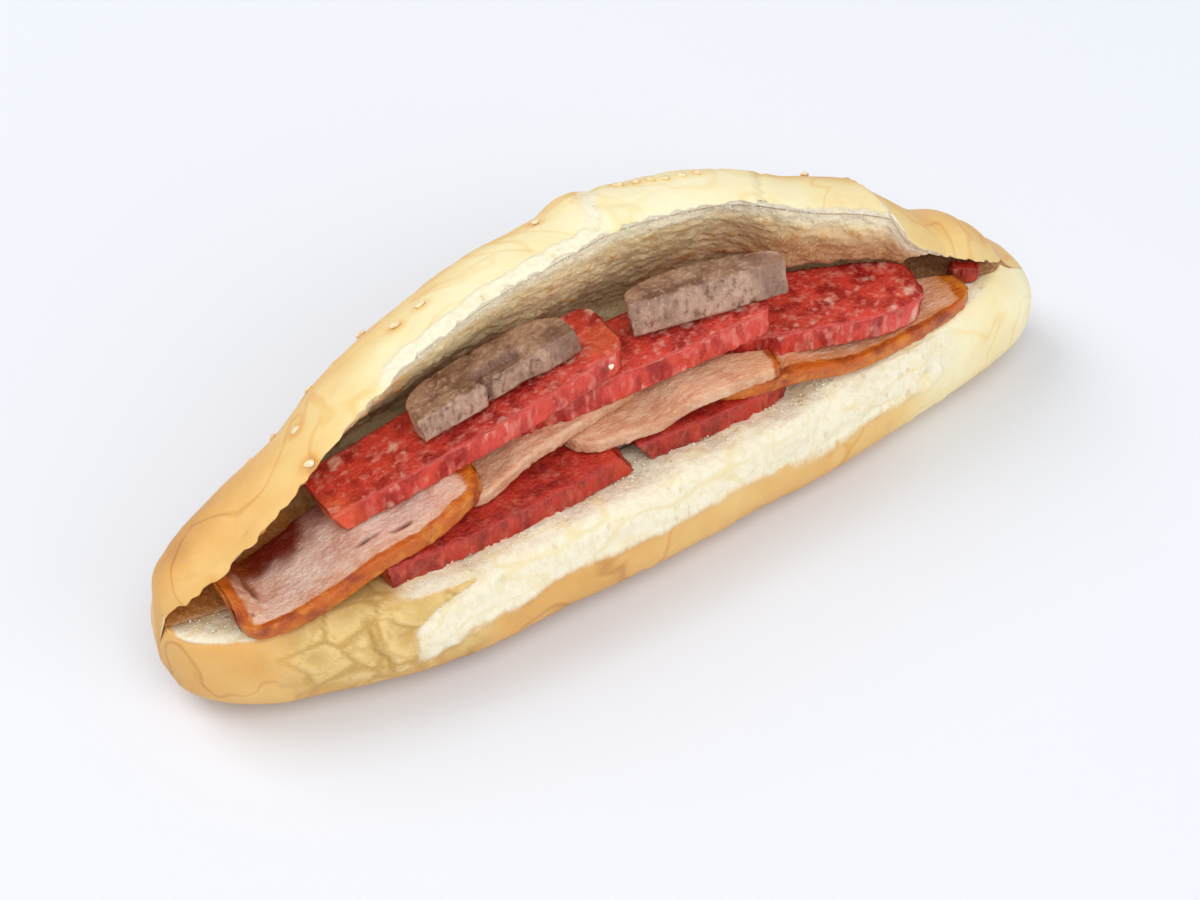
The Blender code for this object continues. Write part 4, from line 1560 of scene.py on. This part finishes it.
@dataclass(frozen=True)
class Crumb:
    """The crumb that lines the mouth: the flap's underside, the back and the floor.

    Attributes:
        step: the spacing of its stations.
        face_points: points from the flap's lip to the back of the mouth.
        floor_points: from there to the lower lip.
        hidden_points: back through the bread.
        wall: how far behind the lining the hidden points lie.
        pores: (size, depth, rarity) of its pores, the coarsest first.
        shade_and_stain_spots: (x, y, z, size) of spots of painted shade and of grease from the filling.
    """

    step: float = 0.6
    face_points: int = 92
    floor_points: int = 40
    hidden_points: int = 12
    wall: float = 3.4
    pores: tuple = ((5.6, 1.0, 0.45), (3.3, 0.85, 0.30), (2.0, 0.7, 0.20))
    shade_and_stain_spots: tuple = ((-62, 6, 44, 5), (-50, 20, 46, 7), (83, -3, 50, 4), (74, 3, 49, 5), (88, -6, 44, 5))

    @property
    def shown(self) -> int:
        """How many points of a ring are in sight; the hidden ones come after them."""
        return self.face_points + self.floor_points

    def section(self, x: Array) -> Array:
        """Lays out the rings, round the mouth and back through the bread.

        Args:
            x: the stations.

        Returns:
            (stations, ring, 3) points.
        """
        deep = FORM.mouth_depth.at(x)[:, None]
        mouth = FORM.mouth(x)
        mouth[:, 0] = FORM.flap_edge(x)[:, 0] + np.array((0.1, 0.15)) * deep
        mouth[:, 4] += np.array((0.0, -1.6)) * deep
        mouth[:, 5] += np.array((1.4, -4.0)) * deep
        sunk = FORM.mouth(x, self.wall)
        sunk[:, 0] = mouth[:, 0] + np.array((1.2, 1.6)) * deep * FORM.room(x)
        sunk[:, 5] += np.array((2.0, -5.0)) * deep * FORM.room(x)
        face = evenly(mouth[:, :3], self.face_points)
        floor = evenly(mouth[:, 2:], self.floor_points)
        ring = np.concatenate([face, floor, evenly(sunk[:, ::-1], self.hidden_points)], 1)
        ring[:, 1 : self.shown] = self.softened(ring[:, : self.shown + 1])
        return np.concatenate([np.broadcast_to(x[:, None, None], ring.shape[:2] + (1,)), ring], -1)

    @staticmethod
    def softened(line: Array) -> Array:
        """Rounds the corners of lines.

        Args:
            line: (stations, points, 2), whose two ends stay.

        Returns:
            All but the two ends.
        """
        result = line.copy()
        for _ in range(14):
            result[:, 1:-1] = 0.5 * result[:, 1:-1] + 0.25 * (result[:, :-2] + result[:, 2:])
        return result[:, 1:-1]

    def pitted(self, points: Array) -> Array:
        """Scatters the pores.

        Args:
            points: (stations, ring, 3) places.

        Returns:
            (stations, ring) values from 0 between pores to 1 in the deepest.
        """
        bent = np.stack([GRAIN.at(points + 13 * k, 2.9) for k in range(3)], -1)
        pit = np.zeros(points.shape[:2])
        for size, depth, rarity in self.pores:
            gap, _, own = GRAIN.cells(points + 10 * size + 0.34 * size * bent, size)
            pit = np.maximum(pit, depth * rising(gap, 0.66, 0.12) * rising(own, rarity, 0.9))
        return pit

    def marks(self, points: Array, order: Array, pit: Array) -> dict:
        """Gathers what the finish reads.

        Args:
            points: (stations, ring, 3) places.
            order: how far round the ring each point comes.
            pit: how deep in a pore it is.

        Returns:
            Attribute name to values, with the tips' own at both ends.
        """
        px, count = points[..., 0], self.shown
        shown, on_face = order < count, order < self.face_points
        ends = rising(px, -119, -116)
        lip = 0.7 * rising(order, 16, 5) * on_face * rising(px, -70, -56)
        low = rising(order, count - 24, count - 10) * shown
        left = 0.54 * shown * rising(px, -96, -104) * rising(order, count - 22, count - 14)
        pale = np.maximum.reduce([lip, low, left]) * ends
        # Painted shade, warm with reflected red: under the hanging crumb at the right, towards the back of
        # the mouth and on the floor at the right end. The spots add both shade and grease stains.
        torn = 0.95 * rising(px, 36, 58) * on_face * rising(order, 9, 34) * rising(px, 96, 88)
        back = 0.3 * on_face * rising(order, 50, 88)
        right = within(order, 12, 24, count - 16, count - 8) * rising(px, 84, 94)
        painted_light_and_stain = np.maximum.reduce([torn, back, right])
        for *spot, size in self.shade_and_stain_spots:
            away = np.linalg.norm(points - np.array(spot), axis=-1) + 2.5 * GRAIN.at(points, 3)
            painted_light_and_stain = np.maximum(painted_light_and_stain, 0.9 * rising(away, size, size * 0.4))
        # Painted dark amber shade over the crumb in the left end of the mouth and at its tip.
        amber_shade = rising(order, count - 12, count - 20) * rising(px, -66, -82) * 0.95
        amber_shade = np.maximum(amber_shade, 0.8 * rising(px, -116, -118))
        return capped_marks({"pit": pit * shown * ends, "pale": pale, "painted_light_and_stain": painted_light_and_stain, "amber_shade": amber_shade})

    def make(self, finish: CrumbFinish, effects: Effects) -> Piece:
        """Makes the crumb with its pores and the marks that colour it.

        Args:
            finish: what it looks like.
            effects: the shared groups.

        Returns:
            The piece.
        """
        points = self.section(FORM.stations(self.step, FORM.mid_x - FORM.half_length + 1.5, 120.0))
        count, px = self.shown, points[..., 0]
        order = np.broadcast_to(np.arange(points.shape[1]), points.shape[:2])
        shown, on_face = order < count, order < self.face_points
        out = points[:, :count].mean(axis=1, keepdims=True) - points[:, count:].mean(axis=1, keepdims=True)
        normal = normals_of(points, out * shown[..., None])
        pit = self.pitted(points)
        lift = 0.9 * GRAIN.layered(points, 8, 4) + 0.3 * GRAIN.at(points + 9, 1.3) - 0.8 * pit
        lift += FORM.bulge.at(px) * on_face * rising(order, 18, 50) * 0.9 * GRAIN.layered(points + 33, 5, 3)
        ease = np.clip(np.minimum(order, count - order) / 5.0, 0, 1) * shown
        ease = ease * np.clip(FORM.mouth_depth.at(px) * 1.5, 0, 1)
        placed = points + normal * (lift * ease)[..., None]
        return wrapped("roll_crumb", capped(placed), self.marks(points, order, pit), finish.build(effects))


# --- the filling


class Meat(Enum):
    """The kinds of sliced meat, each with the record's material slot and what sets it apart."""

    SALAMI = ("salami", "on top")
    # A darker copy of the salami for the slices low in the mouth: its darker reds are painted shade, and it
    # has fewer flecks.
    LOW_SALAMI = ("salami", "at the bottom")
    HAM = ("ham", "smoked, with a rind")
    WARM_HAM = ("ham", "smoked through at its edges")
    PALE_HAM = ("ham", "from the middle")
    GREY = ("grey_meat", "boiled")

    @property
    def slot(self) -> str:
        """The record's material slot."""
        return self.value[0]


@dataclass(frozen=True)
class Mark:
    """A spot of another colour on a slice, or a groove. On ham the colour is painted shade in folds, slits
    and under the flap; on salami, a painted highlight; on grey meat, darker purple.

    Attributes:
        u: its middle along the slice, from 0 to 1.
        v: its middle from the front to the back, from 0 to 1.
        long: its half length along the slice, in millimetres.
        deep: its half length from front to back, in millimetres.
        strength: how strong it is, from 0 to 1.
        groove: how deep it goes, in millimetres.
    """

    u: float
    v: float
    long: float
    deep: float
    strength: float = 0.8
    groove: float = 0.0


@dataclass(frozen=True)
class Slice:
    """A slice of meat that lies in the mouth, given by its lower front edge.

    Attributes:
        name: its node's name.
        meat: what it is.
        start: that edge's left end.
        end: that edge's right end.
        depth: how far the slice reaches back at each of them.
        thickness: how thick it is.
        belly: how far the front edge bows out.
        slant: how much further along the upper edge of each end stands.
        rounding: how far from each end the slice narrows.
        lean: how much its back is raised, in degrees.
        bed: (x, height) of its underside, where it drapes over what is beneath it.
        curl: how far its left end is cupped up at the back.
        straight_front: whether only its back narrows towards the ends, as on a half round.
        rind: the sides that have a rind, of front, left and right.
        edge: how round its edges are.
        wave: how uneven its edges are.
        marks: its spots, mostly of painted shade or painted highlight, and its grooves.
        seam: (u, v) points of a tear that starts at its front, painted with shade, or nothing.
    """

    name: str
    meat: Meat
    start: tuple
    end: tuple
    depth: tuple
    thickness: float
    belly: float = 0.0
    slant: tuple = (0.0, 0.0)
    rounding: tuple = (0.0, 0.0)
    lean: float = 0.0
    bed: tuple = ()
    curl: float = 0.0
    straight_front: bool = False
    rind: tuple = ()
    edge: float = 0.8
    wave: float = 0.35
    marks: tuple = ()
    seam: tuple = ()

    def place(self, u: Array, v: Array, w: Array) -> Array:
        """Finds points of the slice.

        Args:
            u: the share of the way along it.
            v: the share of the way from its front to its back.
            w: the share of the way from its underside up.

        Returns:
            (..., 3) points.
        """
        start, end = np.array(self.start), np.array(self.end)
        run = end - start
        length = np.linalg.norm(run)
        across = np.array((-run[1], run[0], 0.0)) / math.hypot(run[0], run[1])
        lean = math.radians(self.lean)
        across = across * math.cos(lean) + np.array((0.0, 0.0, math.sin(lean)))
        up = np.cross(run, across)
        up /= np.linalg.norm(up)
        depth = toward(*self.depth, u)
        narrowing = np.ones_like(u)
        for gap, reach in ((u * length, self.rounding[0]), ((1 - u) * length, self.rounding[1])):
            if reach:
                closer = np.clip(1 - gap / reach, 0, 1)
                narrowing = narrowing * np.where(gap < reach, 0.35 + 0.65 * np.sqrt(1 - closer**2), 1.0)
        reach = depth * v * narrowing if self.straight_front else depth * (0.5 + (v - 0.5) * narrowing)
        reach = reach - self.belly * 4 * u * (1 - u) * (1 - v)
        slant = self.slant[0] * (1 - u) + self.slant[1] * u
        point = start + run * u[..., None] + across * reach[..., None] + run / length * (slant * w)[..., None]
        if self.bed:
            point[..., 2] = Course(self.bed).at(point[..., 0]) + reach * math.sin(lean)
        if self.curl:
            point[..., 2] += self.curl * smooth((11 - u * length) / 11) * smooth(reach / 10)
        return point + up * (self.thickness * w)[..., None]

    def rings(self) -> tuple:
        """Lays out the slice's rings, with its ends closed in.

        Returns:
            The u, v and w of (stations, ring) points, and how far each is on a cut side, from 0 to 1.
        """
        length = math.dist(self.start, self.end)
        depth = max(self.depth)
        thick, edge = self.thickness, min(self.edge, self.thickness * 0.4)
        corner = np.linspace(0, math.pi / 2, 5)
        half_y, half_z = depth / 2, thick / 2
        outline = []
        for sy, sz, turn in ((-1, 1, 0), (1, 1, 1), (1, -1, 2), (-1, -1, 3)):
            theta = math.pi - turn * math.pi / 2 - corner
            middle = np.array((sy * (half_y - edge), sz * (half_z - edge)))
            outline += [middle + edge * np.array((math.cos(t), math.sin(t))) for t in theta]
        outline = np.array(outline + outline[:1])
        travel = np.concatenate([[0], np.cumsum(np.linalg.norm(np.diff(outline, axis=0), axis=1))])
        count = int(travel[-1] / 0.5)
        wanted = np.linspace(0, travel[-1], count, endpoint=False)
        y, z = (np.interp(wanted, travel, outline[:, k]) for k in (0, 1))
        cap = 10
        body = max(int(length / 0.5), 12)
        shrink = np.concatenate([np.linspace(0, 1, cap), np.ones(body - 1), np.linspace(1, 0, cap)]) ** 1.2
        inset = edge * (1 - np.sqrt(np.clip(1 - np.clip(1 - (1 - shrink) * half_z / edge, 0, 1) ** 2, 0, 1)))
        left = np.concatenate([np.zeros(cap), np.arange(1, body) / body, np.ones(cap)])
        ease = np.concatenate([inset[:cap], np.zeros(body - 1), -inset[-cap:]]) / length
        u = np.clip(np.broadcast_to((left + ease)[:, None], (len(left), count)), 0.0, 1.0)
        v = 0.5 + y[None, :] * shrink[:, None] / depth
        w = 0.5 + z[None, :] * shrink[:, None] / thick
        flat = np.abs(z) / half_z
        side = np.broadcast_to(1 - rising(flat, 0.86, 0.99), u.shape).copy()
        side[shrink < 0.97] = 1.0
        return u, v, w, side

    def spotted(self, points: Array, u: Array, v: Array, w: Array) -> tuple:
        """Sets the slice's marks and opens its tear, beside which the meat has fallen in.

        Args:
            points: (stations, ring, 3) places.
            u: their share of the way along it.
            v: their share of the way from its front to its back.
            w: their share of the way up.

        Returns:
            How strongly each place is coloured, mostly with painted shade or highlight, and how deep it is
            sunk.
        """
        length, depth = self.spans()
        painted_light_and_stain, sunk = np.zeros_like(u), np.zeros_like(u)
        for mark in self.marks:
            ragged = 0.35 * min(1.0, 4 / mark.deep) * GRAIN.at(points + 21, 2.5)
            away = np.hypot((u - mark.u) * length / mark.long, (v - mark.v) * depth / mark.deep) + ragged
            near = rising(away, 1.1, 0.4)
            painted_light_and_stain = np.maximum(painted_light_and_stain, mark.strength * near)
            sunk += mark.groove * near * rising(w, 0.4, 0.9)
        if self.seam:
            spot = np.stack((u * length, v * depth), -1) + 0.5 * GRAIN.at(points + 9, 2.6)[..., None]
            gap = np.full_like(u, 99.0)
            for a, b in zip(self.seam, self.seam[1:]):
                from_a = spot - np.array((a[0] * length, a[1] * depth))
                step = np.array(((b[0] - a[0]) * length, (b[1] - a[1]) * depth))
                share = np.clip(from_a @ step / (step @ step), 0, 1)
                gap = np.minimum(gap, np.linalg.norm(from_a - share[..., None] * step, axis=-1))
            fallen = within(u, 0.43, 0.46, 0.62, 0.80) * rising(v, 0.44, 0.34)
            cleft = rising(gap, 1.3, 0.3)
            front = 1.1 * rising(v, 0.12, 0.0) * np.maximum(fallen, 2 * cleft)
            sunk += toward(front, 1.3 * fallen + 1.5 * cleft, rising(w, 0.3, 0.8))
            # Paints shade into the tear.
            painted_light_and_stain = np.maximum(painted_light_and_stain, rising(gap, 1.8, 0.5))
        return painted_light_and_stain, sunk

    def spans(self) -> tuple:
        """The slice's length and its depth halfway along it."""
        return math.dist(self.start, self.end), float(np.mean(self.depth))

    def make(self, material: Material) -> Piece:
        """Makes the slice with its uneven edges and cut faces.

        Args:
            material: its meat's material.

        Returns:
            The piece.
        """
        u, v, w, side = self.rings()
        points = self.place(u, v, w)
        normal = normals_of(points, points - points.mean(axis=(0, 1)))
        ham = self.meat.slot == "ham"
        coarse = 0.25 if ham else 0.42
        lift = self.wave * GRAIN.layered(points + 7, 9, 2) * side
        lift += side * (coarse * GRAIN.at(points, (1.1, 1.1, 4.0)) + 0.18 * GRAIN.at(points + 5, 1.5))
        lift += 0.24 * (1 - side) * GRAIN.layered(points + 3, 4, 3)
        if ham:
            lift += 0.25 * GRAIN.layered(points * (0.5, 1, 1), 5, 2)
        if self.meat is Meat.GREY:
            pits, _, own = GRAIN.cells(points * (1, 1, 0.6) + 3, 3.6)
            lift -= 0.6 * rising(pits, 0.35, 0.1) * rising(own, 0.55, 0.9)
        painted_light_and_stain, sunk = self.spotted(points, u, v, w)
        placed = points + normal * (lift - sunk)[..., None]
        length, depth = self.spans()
        insets = {"front": v * depth, "left": u * length * 0.5, "right": (1 - u) * length * 0.4}
        inset = np.full_like(u, 50.0)
        for where in self.rind:
            inset = np.minimum(inset, insets[where])
        return wrapped(self.name + "_meat", placed, {"side": side, "inset": inset, "painted_light_and_stain": painted_light_and_stain}, material)


SLICES = (
    Slice(
        "grey_meat_left", Meat.GREY, (-50.2, -3.9, 56.4), (-6.4, -2.4, 62.8), (12.0, 12.0), 7.2, 0.3,
        (0, 0), (12, 13), -10, straight_front=True, edge=0.35, wave=0.25,
        marks=(Mark(0.97, 0.1, 9, 6, 0.75), Mark(0.55, 0.3, 5, 2, 0.6)),
        # Its seam is painted with shade.
        seam=((0.44, 0.0), (0.40, 0.32), (0.52, 0.42), (0.66, 0.38)),
    ),
    Slice(
        "grey_meat_right", Meat.GREY, (9.0, -1.0, 58.0), (47.5, -10.6, 61.8), (9.6, 9.6), 9.8, 0.3,
        (0, 0), (16, 27), -12, straight_front=True, edge=0.35, wave=0.25,
        marks=(Mark(0.62, 0.5, 5, 0.7, 0.5), Mark(0.9, 0.3, 6, 6, 0.8)),
    ),
    Slice(
        "salami_left", Meat.SALAMI, (-74.6, -8.8, 43.9), (4.2, -7.6, 56.6), (17, 20), 7.2, 1.6, (-2.5, 1),
        # The marks paint orange highlights at its two ends.
        (0, 5), -7, marks=(Mark(0.02, 0.1, 7, 7, 0.7), Mark(0.97, 0.3, 8, 7, 0.7)),
    ),
    Slice(
        "salami_centre", Meat.SALAMI, (-31.4, -6.0, 44.4), (42.0, -12.6, 53.0), (20, 19), 7.8, 0.5,
        (0, 1), (6, 2), -6,
    ),
    Slice(
        "salami_right", Meat.SALAMI, (22.8, -5.5, 43.6), (84.0, -20.8, 40.4), (23.6, 19.4), 7.4, 1.5,
        (0, 0), (4, 14), -4,
    ),
    Slice("salami_far_end", Meat.LOW_SALAMI, (100.2, -7.4, 35.6), (107.0, -10.8, 35.4), (3.4, 2.6), 5.2),
    Slice(
        "ham_left", Meat.HAM, (-106.2, -18.2, 31.2), (-39.5, -17.0, 44.6), (20, 24), 4.8, 3.0, (0, 0),
        (6, 9), 0,
        ((-110, 31.4), (-98, 31.4), (-80, 35.8), (-69, 39.4), (-58, 40.2), (-46, 43.9), (-36, 44.2)),
        6.2, rind=("front", "left", "right"),
        # The marks paint shade: in its fold and slits, which are also grooved, and under the flap at its
        # back-left.
        marks=(
            Mark(0.12, 0.62, 1.3, 6.5, 0.85, 0.8), Mark(0.53, 0.30, 3.2, 0.8, 0.9, 0.9),
            Mark(0.2, 1.0, 26, 10, 1.0), Mark(0.66, 0.22, 3.6, 0.7, 0.9, 0.8),
            Mark(0.07, 0.2, 0.5, 0.5, 0.9),
        ),
    ),
    Slice(
        "ham_middle", Meat.PALE_HAM, (-46.0, -15.4, 39.2), (9.5, -5.8, 44.0), (28, 22), 4.3, 0.5, (0, 0),
        (6, 5), 0, ((-52, 39.2), (-40, 39.2), (-24, 43.4), (12, 43.2)),
    ),
    Slice(
        "ham_centre", Meat.PALE_HAM, (-16.0, -12.9, 39.2), (41.0, -19.4, 43.6), (23, 6), 4.2, 1.0, (0, 0),
        (8, 3), 0, ((-18, 39.1), (6, 39.1), (18, 43.7), (42, 43.9)), rind=("right",),
    ),
    Slice(
        "ham_right", Meat.WARM_HAM, (21.5, -14.4, 38.8), (101.4, -16.4, 34.9), (30, 9), 4.4, 5.6, (0, 0),
        (10, 9), 0, ((19, 38.7), (45, 38.7), (64, 34.9), (106, 34.9)), rind=("front", "left", "right"),
    ),
    Slice(
        "salami_front_right", Meat.LOW_SALAMI, (4.4, -16.8, 31.2), (47.5, -16.8, 31.2), (29, 20), 7.4,
        1.0, (-4.5, 0), (0, 8),
    ),
    Slice(
        "salami_front_left", Meat.LOW_SALAMI, (-69.5, -20.0, 31.2), (-0.2, -17.8, 31.2), (29, 31), 7.6,
        # The mark paints a highlight at its right front corner.
        1.8, (-1, -4.5), marks=(Mark(0.98, 0.05, 6, 5, 0.7),),
    ),
)


class Filling:
    """All the slices, and the material of each kind."""

    def __init__(self, effects: Effects) -> None:
        """Makes the materials.

        Args:
            effects: the shared groups.
        """
        # The low salami: darker reds as painted shade, and a fifth colour that is its painted highlight.
        low = SalamiFinish(
            "low_shaded_salami", colour(0.55, 0.026, 0.010), colour(0.30, 0.007, 0.004), colour(0.70, 0.22, 0.14),
            colour(0.60, 0.07, 0.034), colour(0.66, 0.05, 0.015), 0.4,
        )
        pale = HamFinish(
            "pale_ham", colour(0.80, 0.47, 0.29), colour(0.66, 0.30, 0.16), colour(0.88, 0.66, 0.46),
            rind_depth=0.9,
        )
        warm = HamFinish("warm_ham", colour(0.84, 0.52, 0.35), colour(0.70, 0.34, 0.19), glow=0.6)
        self.materials = {
            Meat.SALAMI: SalamiFinish().build(effects),
            Meat.LOW_SALAMI: low.build(effects),
            Meat.HAM: HamFinish().build(effects),
            Meat.WARM_HAM: warm.build(effects),
            Meat.PALE_HAM: pale.build(effects),
            Meat.GREY: GreyMeatFinish().build(effects),
        }

    def make(self) -> None:
        """Makes every slice, and puts it in its node's place."""
        for piece in SLICES:
            obj = piece.make(self.materials[piece.meat])
            settle(obj, piece.name)


@dataclass(frozen=True)
class Crumbs:
    """Loose white crumbs along the frayed edges and on the meat.

    Attributes:
        along_lips: how many lie along the two torn edges.
        on_meat: (x, y, z, size) of those on the filling.
    """

    along_lips: int = 900
    on_meat: tuple = ((-43.5, -12.6, 47.5, 1.6), (-60.0, -19.0, 40.5, 1.5), (-2.5, -9.5, 61.5, 1.6))

    def make(self, finish: PlainFinish, effects: Effects) -> Piece:
        """Makes the crumbs as one piece of separate closed bits.

        Args:
            finish: what they look like.
            effects: the shared groups.

        Returns:
            The piece.
        """
        rng = random.Random(8)
        spots = list(self.on_meat)
        for k in range(self.along_lips):
            x = rng.uniform(-66, 104) if k % 12 else rng.uniform(-114, -100)
            station = np.array((x,))
            size = rng.uniform(0.3, 0.85)
            if k % 3 or x < -66:
                inside, edge, crest = FORM.lower_edge(station)[0]
                t = rng.random() ** 0.7
                y, z = toward(edge, crest, t) if rng.random() < 0.75 else toward(edge, inside, t * 0.5)
                z += 0.35 + 0.25 * rng.random()
            else:
                lip, hang = FORM.mouth(station)[0][:2]
                y, z = toward(lip, hang, abs(rng.gauss(0.10, 0.05)))
                z -= 0.2
            spots.append((x, float(y), float(z), size))
        every = bmesh.new()
        for x, y, z, size in spots:
            bit = bmesh.ops.create_icosphere(every, subdivisions=1, radius=0.5)["verts"]
            for vert in bit:
                vert.co *= rng.uniform(0.7, 1.25)
            turn = Matrix.Rotation(rng.uniform(0, 6), 4, "X") @ Matrix.Rotation(rng.uniform(0, 6), 4, "Z")
            shape = Matrix.Diagonal((size, size * rng.uniform(0.5, 1), size * rng.uniform(0.4, 0.8), 1.0))
            at = Matrix.Translation((Vector((x, y, z + size * 0.15)) - Vector(ORIGIN)) * MM)
            bmesh.ops.transform(every, matrix=at @ Matrix.Scale(MM, 4) @ turn @ shape, verts=bit)
        return linked("loose_crumbs", meshed("loose_crumbs", every), finish.build(effects))


def settle(obj: Piece, node: str | None = None) -> None:
    """Rides a piece on the part's one body.

    Args:
        obj: the piece.
        node: the CAD node that it stands for, if it does.
    """
    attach(obj, "root")
    if node:
        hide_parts(node)
    LOG.info("%s: %d faces", obj.name, len(obj.data.polygons))


# --- the studio


@dataclass(frozen=True)
class Studio:
    """The pale floor, the soft light and the camera.

    Attributes:
        azimuth: the camera's turn about the roll, in degrees.
        elevation: its height, in degrees.
        distance: from the aim to the camera, in metres.
        aim: what it looks at, in metres.
        lens: its focal length, in millimetres.
        floor_colour: the floor's colour.
        floor_height: its height, just under the roll, in metres.
        sky_colour: the colour of the light from all round.
        sky_strength: how bright that light is.
        lamps: (name, place in metres, side in metres, power in watts) of the soft lamps.
        lit: what they point at, in metres.
    """

    azimuth: float = -31.0
    elevation: float = 48.0
    distance: float = 0.708
    aim: tuple = (-0.00506, -0.00643, 0.0235)
    lens: float = 85.0
    floor_colour: tuple = colour(0.80, 0.82, 0.87)
    floor_height: float = -0.0002
    sky_colour: tuple = colour(0.96, 0.98, 1.0)
    sky_strength: float = 0.42
    lamps: tuple = (
        ("key", (-1.1, 1.3, 2.3), 1.8, 36.0),
        ("fill", (-0.57, -1.6, 2.75), 2.4, 48.5),
        ("front", (1.1, -2.4, 1.4), 2.0, 18.0),
    )
    lit: tuple = (0.0, 0.0, 0.03)

    def build(self) -> None:
        """Makes everything in the studio."""
        self.make_floor()
        self.make_lights()
        self.make_camera()

    def make_floor(self) -> None:
        """Makes the floor."""
        flat = bmesh.new()
        bmesh.ops.create_grid(flat, x_segments=1, y_segments=1, size=4.0)
        look = {"Base Color": self.floor_colour, "Roughness": 0.8, "Specular IOR Level": 0.2}
        floor = linked("floor", meshed("floor", flat), new_material("floor", look)[0])
        floor.location.z = self.floor_height

    def make_lights(self) -> None:
        """Makes the sky light and the large soft lamps."""
        world = bpy.data.worlds.new("studio")
        world.use_nodes = True
        sky = world.node_tree.nodes["Background"]
        sky.inputs["Color"].default_value = self.sky_colour
        sky.inputs["Strength"].default_value = self.sky_strength
        bpy.context.scene.world = world
        bpy.context.scene.view_settings.view_transform = "Standard"
        for name, place, size, power in self.lamps:
            lamp = bpy.data.lights.new(name, "AREA")
            lamp.shape = "SQUARE"
            lamp.size = size
            lamp.energy = power
            obj = bpy.data.objects.new(name, lamp)
            obj.location = place
            obj.rotation_euler = (Vector(self.lit) - Vector(place)).to_track_quat("-Z", "Y").to_euler()
            bpy.context.scene.collection.objects.link(obj)

    def make_camera(self) -> None:
        """Makes the camera at the photograph's angle."""
        azimuth, elevation = math.radians(self.azimuth), math.radians(self.elevation)
        level = math.cos(elevation)
        back = Vector((math.sin(azimuth) * level, -math.cos(azimuth) * level, math.sin(elevation)))
        data = bpy.data.cameras.new("camera")
        data.lens = self.lens
        camera = bpy.data.objects.new("camera", data)
        camera.location = Vector(self.aim) + back * self.distance
        camera.rotation_euler = (-back).to_track_quat("-Z", "Y").to_euler()
        bpy.context.scene.collection.objects.link(camera)
        bpy.context.scene.camera = camera


def main() -> None:
    """Builds the roll, its filling and the studio."""
    logging.basicConfig(level=logging.INFO, format="%(message)s")
    effects = Effects()
    seeds = SesameSeeds()
    settle(Crust().make(seeds, CrustFinish(), effects), "bread_roll")
    settle(Crumb().make(CrumbFinish(), effects), "bread_roll")
    ivory = PlainFinish("seed", colour(0.93, 0.80, 0.55), colour(0.80, 0.58, 0.30), 0.42)
    settle(seeds.make(ivory, effects), "bread_roll")
    Filling(effects).make()
    white = PlainFinish("loose_crumb", colour(0.92, 0.87, 0.74), colour(0.82, 0.70, 0.48), 0.85)
    settle(Crumbs().make(white, effects))
    Studio().build()


if __name__ == "__main__":
    main()
